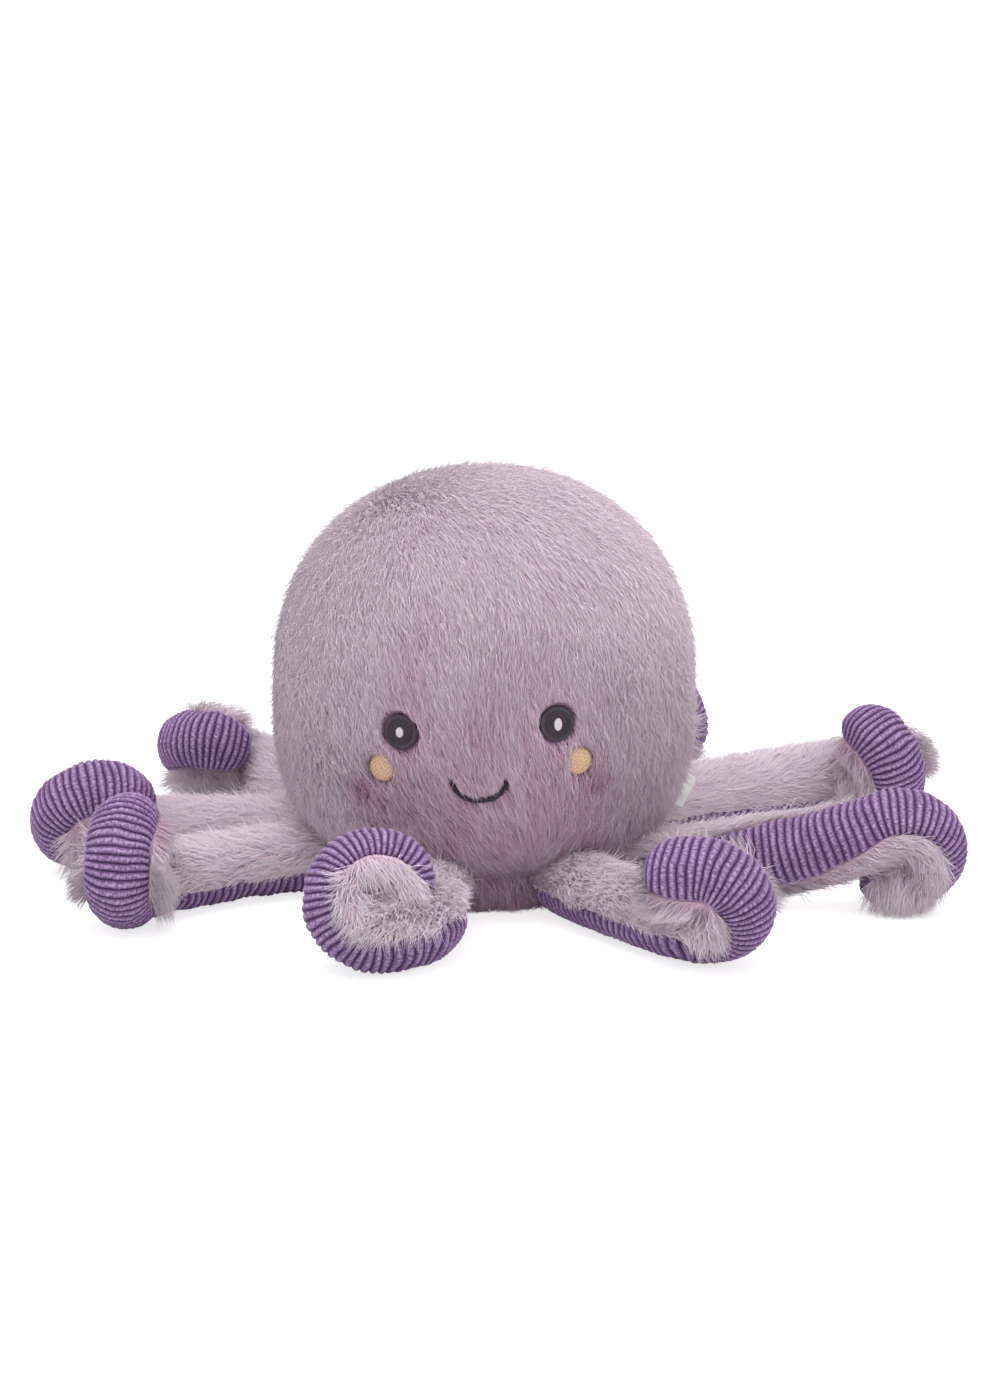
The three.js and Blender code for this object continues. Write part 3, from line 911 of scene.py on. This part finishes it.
# %% [markdown]
# ## Fur
#
# Fur is what makes this toy, so it is real geometry: each strand is a thin three-sided spike
# with one bend. The recipe for every patch is the same.
#
# - Tufts are spread evenly over the skin, about 3 mm apart.
# - Each tuft gets about forty strands, whose roots scatter around it. Some are bent, and the
#   rest are short straight ones that lie lower and close the gaps.
# - A strand leaves the skin steeply, then bends over into the nap, the way the pile lies.
# - The tips of a tuft are drawn together, some more than others, which gives the small locks
#   that brushed plush falls into.
# - A few wild strands stand up out of the nap, and make the outline soft.
#
# A strand's tone comes from slow and fast wavering fields, so that streaks of paler and darker
# pile appear, as they do where a hand has brushed it. On the head the tone also carries painted
# light: paler up toward the crown and toward the sides, and painted shade in the dimples.

# %% Strands into a mesh
tones = 16
lowest_fur = 0.15 * mm


def spike_corners(centre, along, width, facing, roundness):
    """Three corners around each strand, square to the way it runs, and their soft normals."""
    helper = np.where(np.abs(along[:, 2:]) < 0.9, [[0.0, 0.0, 1.0]], [[1.0, 0.0, 0.0]])
    sideways = unit(np.cross(along, helper))
    across = unit(np.cross(along, sideways))
    turn = np.arange(3)[None, :, None] * 2 * math.pi / 3
    offset = sideways[:, None] * np.cos(turn) + across[:, None] * np.sin(turn)
    normals = unit(offset * roundness + facing[:, None])
    return centre[:, None] + offset * width[:, None, None], normals


def strand_piece(name, bent, straight, roundness, material, body):
    """bent is root, middle, tip, width, tone and facing, and straight the same without middle."""
    root, middle, tip, width, tone, facing = bent
    low_root, low_tip, low_width, low_tone, low_facing = straight
    first, second = unit(middle - root), unit(tip - middle)
    lower = spike_corners(root, first, width, facing, roundness)
    upper = spike_corners(middle, unit(first + second), width * 0.8, facing, roundness)
    low_along = unit(low_tip - low_root)
    short = spike_corners(low_root, low_along, low_width, low_facing, roundness)
    tip_normal = unit(facing + 0.6 * second)
    low_tip_normal = unit(low_facing + 0.6 * low_along)
    ends = (tip[:, None], tip_normal[:, None]), (low_tip[:, None], low_tip_normal[:, None])
    points, normals = [
        np.concatenate([
            np.concatenate([lower[k], upper[k], ends[0][k]], 1).reshape(-1, 3),
            np.concatenate([short[k], ends[1][k]], 1).reshape(-1, 3),
        ])
        for k in (0, 1)
    ]
    points[:, 2] = np.maximum(points[:, 2], lowest_fur)
    start = 7 * np.arange(len(root))[:, None, None]
    low_start = 7 * len(root) + 4 * np.arange(len(low_root))[:, None, None]
    quads = start + np.array([[0, 1, 4, 3], [1, 2, 5, 4], [2, 0, 3, 5]])
    spikes = start + np.array([[3, 4, 6], [4, 5, 6], [5, 3, 6], [2, 1, 0]])
    low_spikes = low_start + np.array([[0, 1, 3], [1, 2, 3], [2, 0, 3], [2, 1, 0]])
    faces = [quads.reshape(-1, 4), spikes.reshape(-1, 3), low_spikes.reshape(-1, 3)]
    piece = mesh_piece(name, points, faces, material, body)
    quad_uv = [[0, -1], [0, 1], [0.5, 1], [0.5, -1]] * 3
    spike_uv = [[0.5, -1], [0.5, 1], [1, 0]] * 3 + [[0, -1], [0, 1], [0.03, 0]]
    low_uv = [[0.1, -1], [0.1, 1], [1, 0]] * 3 + [[0, -1], [0, 1], [0.03, 0]]
    strips = [strand_strip(shape, level) for shape, level in
              ((quad_uv, tone), (spike_uv, tone), (low_uv, low_tone))]
    layer = piece.data.uv_layers.new(name=strand_map)
    layer.data.foreach_set("uv", np.concatenate(strips).astype(np.float32).ravel())
    soft = piece.data.attributes.new("custom_normal", "FLOAT_VECTOR", "POINT")
    soft.data.foreach_set("vector", normals.astype(np.float32).ravel())
    return piece


def strand_strip(shape, tone):
    """Map corners: along the strand in U, and within the strip of the strand's tone in V."""
    step = strip_span / tones
    level = strip_start + step * (0.5 + np.clip((tone * tones).astype(int), 0, tones - 1))
    shape = np.array(shape)
    along = strip_start + strip_span * shape[:, 0][None, :] + 0 * level[:, None]
    across = level[:, None] + 0.3 * step * shape[:, 1][None, :]
    return np.stack([along, across], -1).reshape(-1, 2)


print("A bent strand has 7 faces and a straight one 4")

# %% Comb strands
lift_angle = 28
low_angles, low_lift_angle = (14, 34), 16


def leaning(facing, nap, turn, angle):
    """Directions turned aside from the nap and raised from the skin, both in radians."""
    heading = nap * np.cos(turn) + np.cross(facing, nap) * np.sin(turn)
    return facing * np.sin(angle) + heading * np.cos(angle)


def along_skin(vectors, facing):
    """Directions laid flat against the skin."""
    return unit(vectors - facing * (vectors * facing).sum(1, keepdims=True))


def swirls(points, size, seed):
    """Three wavering fields with seeds in a row, as vectors."""
    return np.stack([waver(points, size, seed + axis) for axis in range(3)], -1)


class Comb:
    """How the strands of a patch lie. Angles are in degrees above the skin."""

    def __init__(self, length, rise, fall, stray, gather, width, wild=0.0):
        self.length = length
        self.wild = wild
        self.rise = rise
        self.fall = fall
        self.stray = stray
        self.gather = gather
        self.width = width

    def bend(self, root, facing, nap, chance, stray, length, lift):
        """The middle and the tip of each strand. A lift of 1 adds the whole lift angle."""
        count = len(root)
        stray = stray * (1 + 0.8 * lift)
        turns = chance.normal(0, 1, (count, 2)) * np.reshape(stray, (-1, 1))
        rise = self.rise + lift_angle * lift + chance.normal(0, 0.5, count) * stray
        rise = np.radians(rise)[:, None]
        fall = self.fall + lift_angle * lift + chance.normal(0, 0.5, count) * stray
        fall = np.radians(np.maximum(fall, 1))[:, None]
        middle = root
        both_turns = turns.sum(1, keepdims=True) * 0.7
        for angle, turn in ((rise, turns[:, :1]), (fall, both_turns)):
            step = leaning(facing, nap, np.radians(turn), angle)
            start, middle = middle, middle + step * (length * 0.5)[:, None]
        return start, middle

    def grow(self, skin, tuft_skin, tuft, chance, lift, longer):
        """Middles, tips and widths of bent strands, each drawn some way towards its tuft's."""
        root, facing, nap = skin
        lengths = np.clip(chance.normal(1, 0.14, len(root)), 0.55, 1.35)
        lengths = self.length * longer[tuft] * lengths
        wild = (chance.uniform(0, 1, len(root)) < self.wild) * chance.uniform(0.4, 1.1, len(root))
        middle, tip = self.bend(root, facing, nap, chance, self.stray, lengths, lift[tuft] + wild)
        tuft_length = self.length * longer * chance.uniform(0.9, 1.15, len(lift))
        tuft_middle, tuft_tip = self.bend(*tuft_skin, chance, self.stray * 0.6, tuft_length, lift)
        most = self.gather + 0.35 * lift[tuft]
        pull = most * chance.uniform(0, 1, len(root)) ** (1 - 0.5 * lift[tuft])
        pull = np.where(wild > 0, 0, pull)[:, None]
        tip = tip + (tuft_tip[tuft] - tip) * pull
        middle = middle + (tuft_middle[tuft] - middle) * pull * 0.45
        width = self.width * chance.uniform(0.75, 1.25, len(root))
        return middle, tip, width

    def fill(self, root, facing, nap, chance, lift, longer):
        """Tips and widths of straight strands, which lie lower and close the gaps."""
        turn = np.radians(chance.normal(0, self.stray, len(root)))[:, None]
        angle = chance.uniform(*low_angles, len(root)) + low_lift_angle * lift
        length = (self.length * longer * chance.uniform(0.75, 1.05, len(root)))[:, None]
        tip = root + leaning(facing, nap, turn, np.radians(angle)[:, None]) * length
        return tip, self.width * chance.uniform(0.9, 1.3, len(root))


print("Combs ready")

# %% [markdown]
# ### The head's nap
#
# The head's pile is brushed down and inward: it flows from the crown and the cheeks to one
# point low on the face, a little to the right of the middle, where the locks meet. Around the
# back it simply hangs down, and on the crown it is stroked to one side. The nap at any point is
# that direction, laid flat against the skin.

# %% The way the head's pile lies
nap_meeting = np.array([17, -65, 30]) * mm


def head_nap(points, facing):
    toward = nap_meeting - points
    level = np.linalg.norm(toward[:, :2], axis=1)
    toward[:, 2] = np.minimum(toward[:, 2], -0.35 * level - 2 * mm)
    frontness = unit(points * [1, 1, 0]) @ unit(nap_meeting * [1, 1, 0])
    low = np.clip((widest_height + 55 * mm - points[:, 2]) / (70 * mm), 0, 1)
    weight = (np.clip((frontness + 0.5) / 0.9, 0, 1) * low)[:, None]
    crown = np.clip((points[:, 2] - widest_height - 5 * mm) / (75 * mm), 0, 1)[:, None]
    stroked = crown * np.clip(0.75 + points[:, :1] / (110 * mm), 0.1, 1)
    down = np.array([0, -0.4, -0.8]) + np.array([1.0, -0.2, 0]) * stroked
    flow = unit(toward) * weight + down * (1 - weight)
    return along_skin(flow + 0.14 * swirls(points, 38 * mm, 41), facing)


# %% [markdown]
# Fur must not cover the face. Strands rooted under a pad are left out. One that would lie over
# a pad is cut back step by step, as with scissors, and left out if it still covers the pad.

# %% Keep the face clear
eye_edge = eye_radius + 0.5 * mm
pads = [(face_point(eye_places[side], 0.0, 0.0, 0.0), eye_edge) for side in eye_places]
pads += [(face_point(cheek_places[side], 0.0, 0.0, 0.0), cheek_radius) for side in cheek_places]
for share in np.linspace(-1, 1, 31):
    across, above = smile_line(share)
    pads.append((face_point(smile_place, across, above, 0.0), smile_half_width))


def over_pads(points, margin):
    """True where a point lies over embroidery, seen from straight in front of it."""
    covered = np.zeros(len(points), bool)
    for centre, radius in pads:
        facing = head_normal(centre)
        offset = points - centre
        flat = offset - np.outer(offset @ facing, facing)
        covered |= (flat ** 2).sum(1) < (radius + margin) ** 2
    return covered & (points[:, 1] < 0)


print(len(pads), "places to keep clear")

# %% The head's fur
dimple_places = ((-45.5, 28.5), (41.5, 24.5))
dimple_radius = 4.5 * mm
tuft_gap = 2.9 * mm
tuft_scatter = 0.6 * tuft_gap
face_margin = 0.35 * mm
trim_rounds, trim_step = 6, 0.72
head_bent = 11
head_straight = 34
head_comb = Comb(9.0 * mm, rise=36, fall=5, stray=10, gather=0.5, width=0.17 * mm, wild=0.15)
root_inset = fur_depth + 0.3 * mm


def head_tufts(start, end, top, bottom, chance):
    """Directions of tufts spread evenly between two seams and two distances from the crown."""
    rows = []
    polar = top
    while polar < bottom:
        reach = float(head_reach(polar))
        ring = reach * math.sin(polar)
        count = max(1, int(round(ring * (end - start) / tuft_gap)))
        azimuth = start + (end - start) * (np.arange(count) + chance.uniform(0, 1, count)) / count
        wobble = chance.uniform(-0.5, 0.5, count) * tuft_gap / reach
        rows.append(head_direction(np.clip(polar + wobble, 0.005, rim_polar), azimuth))
        polar += tuft_gap / reach
    return np.concatenate(rows)


def lowness(points):
    """0 on the upper head and 1 low on the face, where the pile stands up in locks."""
    front = np.clip(0.6 - points[:, 1] / head_radius, 0, 1)
    return np.clip((widest_height + 5 * mm - points[:, 2]) / (55 * mm), 0, 1) * front


def head_lift(points):
    """How far the pile stands up: pressed flat on the crown, and loose from the eyes down."""
    height = points[:, 2] - widest_height
    pressed = np.clip((height - 15 * mm) / (45 * mm), 0, 1)
    loose = np.clip((30 * mm - height) / (75 * mm), 0, 1)
    return 0.7 * loose + 0.3 * lowness(points) - 0.5 * pressed


def head_length(points):
    """Strand length as a share: shorter on the crown and in the dimples, longer low in front."""
    return (0.86 + 0.24 * lowness(points)) * (1 - 0.4 * np.minimum(dimpled(points), 1))


def dimpled(points):
    """How deep each point lies in the dimples beside the cheeks, where a thread pulls in."""
    depth = np.zeros(len(points))
    for place in dimple_places:
        offset = points - face_point(place, 0.0, 0.0, 0.0)
        depth += np.exp(-(offset ** 2).sum(1) / (dimple_radius ** 2))
    return depth


def head_tone(points, chance):
    slow = waver(points * [1, 1, 0.6], 30 * mm, 51)
    quick = waver(points, 6 * mm, 52)
    # Painted light: the tone rises with height, paler toward the crown where light falls from above
    # and darker low on the head.
    height = (points[:, 2] - widest_height) / head_radius
    # Painted light: paler toward the sides, for the bright rim along the head's outline.
    side = np.clip(np.abs(points[:, 0]) / head_radius - 0.45, 0, 0.5)
    tone = 0.58 + 0.5 * height + 1.5 * side + 0.09 * slow + (0.1 + 0.16 * lowness(points)) * quick
    # Painted shade: darker in the dimples beside the cheeks.
    tone = tone - 2.2 * dimpled(points) + chance.normal(0, 0.24, len(points))
    return np.clip(tone, 0, 0.999)


def scattered(tufts, strands, chance):
    """Roots around each tuft, and the number of the tuft that each belongs to."""
    tuft_root = head_point(tufts, root_inset)
    tuft = np.repeat(np.arange(len(tufts)), strands)
    scatter = chance.normal(0, tuft_scatter, (len(tuft), 3))
    root = head_point(unit(tuft_root[tuft] + scatter - head_middle), root_inset)
    keep = (root[:, 2] > rim_height - 1 * mm) & ~over_pads(root, -0.2 * mm)
    return root[keep], tuft[keep]


def trimmed(root, middle, tip):
    """Strands cut back until they leave the embroidery bare, and those that still cover it."""
    for trim in range(trim_rounds):
        covers = np.zeros(len(root), bool)
        for share in (0.0, 0.35, 0.7, 1.0):
            covers |= over_pads(middle + (tip - middle) * share, face_margin)
        reach = np.where(covers, trim_step, 1)[:, None]
        middle = root + (middle - root) * reach
        tip = root + (tip - root) * reach
    return middle, tip, ~covers


def head_patch(name, start, end, top, bottom, seed):
    chance = np.random.default_rng(seed)
    tufts = head_tufts(start, end, top, bottom, chance)
    tuft_root = head_point(tufts, root_inset)
    tuft_facing = head_normal(tuft_root)
    tuft_nap = head_nap(tuft_root, tuft_facing)
    lift = head_lift(tuft_root)
    root, tuft = scattered(tufts, head_bent, chance)
    facing = head_normal(root)
    skin = (root, facing, head_nap(root, facing))
    tuft_skin = (tuft_root, tuft_facing, tuft_nap)
    grown = head_comb.grow(skin, tuft_skin, tuft, chance, lift, head_length(tuft_root))
    middle, tip, keep = trimmed(root, *grown[:2])
    tuft_tone = chance.normal(0, 0.22, len(tufts)) * np.maximum(lift, 0.1)
    tone = head_tone(root, chance) + tuft_tone[tuft]
    bent = [array[keep] for array in (root, middle, tip, grown[2], tone, facing)]
    root, tuft = scattered(tufts, head_straight, chance)
    root = root[chance.uniform(0, 1, len(root)) > 0.4 * lift[tuft]]
    facing = head_normal(root)
    nap = head_nap(root, facing)
    tip, width = head_comb.fill(root, facing, nap, chance, head_lift(root), head_length(root))
    tip, keep = trimmed(root, (root + tip) / 2, tip)[1:]
    straight = [array[keep] for array in (root, tip, width, head_tone(root, chance), facing)]
    return strand_piece(name, bent, straight, 1.0, head_fur, "head")


band_edge = math.radians(76)
bands = {"upper": (0.01, band_edge), "lower": (band_edge, rim_polar)}
patch_count = 0
for panel, angles in panel_angles.items():
    start, end = np.radians(angles)
    halves = {"left": (start, (start + end) / 2), "right": ((start + end) / 2, end)}
    if panel != "head_front_panel":
        halves = {"": (start, end)}
    for band, (top, bottom) in bands.items():
        for half, (patch_start, patch_end) in halves.items():
            words = [panel.replace("_panel", "_fur"), band, half]
            name = "_".join(word for word in words if word)
            patch = head_patch(name, patch_start, patch_end, top, bottom, 60 + patch_count)
            patch_count += 1
            print(name, "has", len(patch.data.polygons), "faces")

# %% [markdown]
# The base has the same plush. Its pile leans outward and down to the table, and it is a little
# shorter there.

# %% The base's fur
base_strands = 14000


def base_fur():
    chance = np.random.default_rng(90)
    count = base_strands
    turn = chance.uniform(0.15, np.pi / 2, count)
    azimuth = chance.uniform(0, 2 * np.pi, count)
    radius = base_flat_radius - 0.5 * mm + (rim_radius - base_flat_radius) * np.sin(turn)
    height = 0.5 * mm + (rim_height - 1 * mm) * (1 - np.cos(turn))
    outward = np.stack([np.sin(azimuth), -np.cos(azimuth), 0 * azimuth], -1)
    root = outward * radius[:, None]
    root[:, 2] = height
    facing = unit(outward + np.array([0, 0, -0.25]))
    swirl = swirls(root, 9 * mm, 44)
    nap = along_skin(np.array([0.0, 0.0, -1.0]) + 0.6 * swirl + 0.25 * outward, facing)
    comb = Comb(length=10.5 * mm, rise=60, fall=20, stray=22, gather=0, width=0.17 * mm)
    lengths = comb.length * chance.uniform(0.6, 1.1, count) * (1 + 0.2 * swirl[:, 0])
    middle, tip = comb.bend(root, facing, nap, chance, comb.stray, lengths, np.zeros(count))
    # Painted shade: the base's pile gets a lower tone than the head's, for the shade under the
    # head.
    tone = 0.32 + 0.25 * swirl[:, 1] + chance.normal(0, 0.2, count)
    bent = (root, middle, tip, np.full(count, comb.width), tone, facing)
    low_tip, low_width = comb.fill(root, facing, nap, chance, 0.0, np.ones(count))
    straight = (root, low_tip, low_width, tone, facing)
    return strand_piece("base_fur", bent, straight, 1.0, head_fur, "head")


base_fur()
print("Base fur")

# %% [markdown]
# ### The arms' fur
#
# The arms' plush is paler and looser. Its nap runs out towards the tip of each arm and spreads
# a little to both sides. Beside the seams of the run the pile is trimmed, so it only just hangs
# over the corduroy, but one arm, which lies turned over, keeps its fringe. In the curl the pile
# is longer, it sags under its own weight, and at the seams it stands out past the corduroy.
# Tufts are thinned out inside the curl, where the skin is bunched up and would otherwise grow
# too many. Fur may stand only a little proud of the plain model, so longer strands are cut back.

# %% The arms' fur
arm_comb = Comb(10.0 * mm, rise=36, fall=6, stray=15, gather=0.75, width=0.17 * mm, wild=0.08)
arm_bent = 15
arm_straight = 22
arm_inset = 0.7 * mm
seam_reach = 0.35
seam_trims = {name: 0.75 for name in arm_poses}
seam_trims["arm_right"] = 0.15
curl_trim = 0.2
curl_growth = 0.22
proud_share, proud_gap = 0.015, 4.5 * mm
outer_gap = np.array(cad_high - cad_low) * proud_share + proud_gap
outer_low, outer_high = np.array(cad_low) - outer_gap, np.array(cad_high) + outer_gap
outer_low[2] = -1
run_ends = {name: arm_run * pose["run"] for name, pose in arm_poses.items()}


def curled(arm, along, run_end):
    """0 along an arm's run, and 1 from a quarter of the way through its hook and curl."""
    return np.clip((along - run_end) / (0.25 * (arm[-1, 0] - run_end)), 0, 1)


def beside_seam(around):
    """1 at either seam of an arm, falling off over the first 20 degrees of the plush."""
    return np.exp(-np.minimum(around, np.pi - around) / seam_reach)


def arm_length(loose, around, trim):
    """Strand length as a share: trimmed beside the seams of the run, and long in the curl."""
    kept = 1 - (trim + (curl_trim - trim) * loose) * beside_seam(around)
    return 1.1 * kept * (1 + curl_growth * loose)


def shortened(root, middle, tip):
    """Strands that would reach too far out are cut back, as they are with scissors."""
    reach = np.ones(len(root))
    for end in (middle, tip):
        step = end - root
        room = np.where(step > 0, outer_high - root, outer_low - root)
        share = np.divide(room, step, out=np.ones_like(step), where=np.abs(step) > 1e-9)
        reach = np.minimum(reach, np.clip(share, 0.1, 1).min(1))
    return root + (middle - root) * reach[:, None], root + (tip - root) * reach[:, None]


def arm_coat(arm, along, around, loose):
    root, facing, tangent = arm_skin(arm, along, around, arm_inset)
    _, _, normal, side = arm_axes(arm, along)
    spread = unit(side * np.sin(around)[:, None] + normal * np.cos(around)[:, None])
    aside = (0.3 * loose * np.cos(around) ** 3)[:, None]
    nap = tangent * (1 - 0.6 * loose)[:, None] - spread * aside
    nap = nap + 0.25 * swirls(root, 26 * mm, 71) - np.array([0, 0, 0.7]) * loose[:, None]
    return root, facing, along_skin(nap, facing)


def arm_patch(name, arm, run_end, trim, seed):
    chance = np.random.default_rng(seed)
    length = arm[-1, 0]
    girth = np.pi * (arm_half_width + arm_half_height) / 2
    rows, columns = int(length / tuft_gap), int(girth / tuft_gap)
    grid = np.meshgrid(np.arange(rows), np.arange(columns), indexing="ij")
    grid = np.stack(grid, -1).reshape(-1, 2)
    grid = (grid + chance.uniform(0, 1, grid.shape)) / [rows, columns]
    tuft_along = grid[:, 0] * (length - 2 * mm) + 1 * mm
    tuft_around = np.pi * (0.015 + 0.97 * grid[:, 1])
    here = arm_skin(arm, tuft_along, tuft_around)[0]
    ahead = arm_skin(arm, tuft_along + 0.5 * mm, tuft_around)[0]
    bunching = np.linalg.norm(ahead - here, axis=1) / (0.5 * mm)
    keep = chance.uniform(0, 1, len(grid)) < np.clip(bunching, 0.3, 1)
    tuft_along, tuft_around = tuft_along[keep], tuft_around[keep]
    tuft_loose = curled(arm, tuft_along, run_end)
    tuft_skin = arm_coat(arm, tuft_along, tuft_around, tuft_loose)
    tuft_length = arm_length(tuft_loose, tuft_around, trim)

    def roots(strands):
        tuft = np.repeat(np.arange(len(tuft_along)), strands)
        along = tuft_along[tuft] + chance.normal(0, tuft_scatter, len(tuft))
        around = tuft_around[tuft] + chance.normal(0, tuft_scatter, len(tuft)) / arm_half_width
        along = np.clip(along, 0.5 * mm, length - 0.3 * mm)
        around = np.clip(around, 0.01, np.pi - 0.01)
        return tuft, arm_coat(arm, along, around, curled(arm, along, run_end))

    tuft, skin = roots(arm_bent)
    beside = beside_seam(tuft_around)
    level = 0.25 * (1 - beside) + tuft_loose * (0.1 + 0.6 * beside)
    middle, tip, width = arm_comb.grow(skin, tuft_skin, tuft, chance, level, tuft_length)
    root, facing, _ = skin
    middle, tip = shortened(root, middle, tip)
    bent = (root, middle, tip, width, arm_tone(root, chance), facing)
    tuft, skin = roots(arm_straight)
    tip, width = arm_comb.fill(*skin, chance, 0.0, tuft_length[tuft])
    root, facing, _ = skin
    tip = shortened(root, tip, tip)[1]
    straight = (root, tip, width, arm_tone(root, chance), facing)
    return strand_piece(name + "_fur", bent, straight, 1.6, arm_fur, name)


def arm_tone(points, chance):
    slow, quick = waver(points, 24 * mm, 81), waver(points, 6 * mm, 82)
    return 0.66 + 0.14 * slow + 0.2 * quick + chance.normal(0, 0.24, len(points))


for count, (name, arm) in enumerate(arms.items()):
    patch = arm_patch(name, arm, run_ends[name], seam_trims[name], 110 + count)
    print(name, "has", len(patch.data.polygons), "faces of fur")

# %% [markdown]
# ## The care label
#
# A blank white satin tape is folded in half and sewn into the seam between the right panel and
# the one behind it, where it stands out square to the plush and droops a little. It is swept out
# along one layer and back along the other, with a slight waver, so that it looks like cloth that
# has been handled.

# %% The label
label_height = 37 * mm
label_width = 14 * mm
label_length = 30 * mm
label_thickness = 0.35 * mm
label_layer_gap = 0.3 * mm
label_seat_depth = 0.7 * mm


def folded_tape():
    """Distance along the tape and height across its layers, out to the fold and back."""
    half_gap = (label_layer_gap + label_thickness) / 2
    out = np.linspace(0, label_length - half_gap, 40)
    fold = np.linspace(-np.pi / 2, np.pi / 2, 9)[1:-1]
    distance = np.concatenate([out, out[-1] + half_gap * np.cos(fold), out[::-1]])
    height = np.concatenate([0 * out - half_gap, half_gap * np.sin(fold), 0 * out + half_gap])
    return distance, height


def care_label():
    azimuth = np.radians(panel_angles["head_right_panel"][1])
    polar = polar_at(label_height)
    seat = head_point(head_direction(polar, azimuth), label_seat_depth)
    along = head_normal(seat)
    face = np.array([-math.cos(azimuth), -math.sin(azimuth), 0])
    side = np.cross(along, face)
    distance, height = folded_tape()
    across = np.linspace(-1, 1, 15)
    section = np.concatenate([across, across[::-1]]) * label_width / 2
    outer = np.concatenate([np.ones(15), -np.ones(15)]) * label_thickness / 2
    rate = unit(np.stack([np.gradient(distance), np.gradient(height)], -1))
    distance = distance[:, None] - rate[:, 1:] * outer
    height = height[:, None] + rate[:, :1] * outer
    ripple = 0.5 * mm * np.sin(distance / (9 * mm)) * (distance / label_length)
    ripple = ripple + 0.35 * mm * np.sin(section / (3.2 * mm) + distance / (14 * mm))
    rings = seat + distance[..., None] * along + (height + ripple)[..., None] * face
    rings = rings + section[None, :, None] * side
    label = swept_piece("care_label_tape", rings, tape, "head", ["care_label"])
    return label


care_label()
print("Blank label,", round(label_length / mm), "mm long")

# %% [markdown]
# ## The studio
#
# A pale table and plain soft light. The world lights the toy evenly from all sides, one large
# lamp above and to the left adds the gentle modelling, and a weak one fills in from the right.
# Together they light a matte grey card about as bright as its colour is written. The camera sees
# a white background, which comes from what camera rays find and not from more light on the toy.

# %% Table, world and lamps
white = (1, 1, 1, 1)
table_half_side = 6.0
table_grey, table_seen_grey, table_glow = (0.8, 0.8, 0.8, 1), (0.65, 0.65, 0.65, 1), 0.72
world_strength, backdrop_strength = 0.75, 1.0


def studio_rays(material):
    """1 for rays that should see the white background: from the camera, or mirrored or bent."""
    path = node(material, "ShaderNodeLightPath").outputs
    first = maths(material, "ADD", path["Is Camera Ray"], path["Is Glossy Ray"])
    both = {0: first, 1: path["Is Transmission Ray"]}
    return node(material, "ShaderNodeMath", both, use_clamp=True).outputs[0]


def emptied(owner):
    """A table material or a world with no nodes yet."""
    owner.use_nodes = True
    owner.node_tree.nodes.clear()
    return owner


def seen_white(owner, plain, bright, output):
    """Gives studio rays the bright look, and lights the toy by the plain one."""
    choice = {0: studio_rays(owner), 1: plain.outputs[0], 2: bright.outputs[0]}
    mix = node(owner, "ShaderNodeMixShader", choice)
    node(owner, output, {"Surface": mix.outputs[0]})


def table():
    mesh = bpy.data.meshes.new("table")
    half, low = table_half_side, -0.05 * mm
    corners = [(-half, -half, low), (half, -half, low), (half, half, low), (-half, half, low)]
    mesh.from_pydata(corners, [], [(0, 1, 2, 3)])
    material = emptied(bpy.data.materials.new("table"))
    plain = node(material, "ShaderNodeBsdfDiffuse", {"Color": table_grey})
    seen = node(material, "ShaderNodeBsdfDiffuse", {"Color": table_seen_grey})
    glow = node(material, "ShaderNodeEmission", {"Color": white, "Strength": table_glow})
    bright = node(material, "ShaderNodeAddShader", {0: seen.outputs[0], 1: glow.outputs[0]})
    seen_white(material, plain, bright, "ShaderNodeOutputMaterial")
    mesh.materials.append(material)
    table_top = added("table", mesh)


def world():
    made = emptied(bpy.data.worlds.new("studio"))
    bpy.context.scene.world = made
    light, backdrop = [
        node(made, "ShaderNodeBackground", {"Color": white, "Strength": strength})
        for strength in (world_strength, backdrop_strength)
    ]
    seen_white(made, light, backdrop, "ShaderNodeOutputWorld")


def lamp(name, place, size, power):
    data = bpy.data.lights.new(name, "AREA")
    data.shape = "DISK"
    data.size = size
    data.energy = power
    made = added(name, data)
    made.location = place
    aim = Vector((0, 0, widest_height)) - Vector(place)
    made.rotation_euler = aim.to_track_quat("-Z", "Y").to_euler()


table()
world()
lamp("key", (-0.2, -0.5, 1.8), 1.4, 15)
lamp("fill", (0.9, -1.1, 0.8), 1.0, 2)
bpy.context.scene.view_settings.view_transform = "Standard"
print("Studio lit")
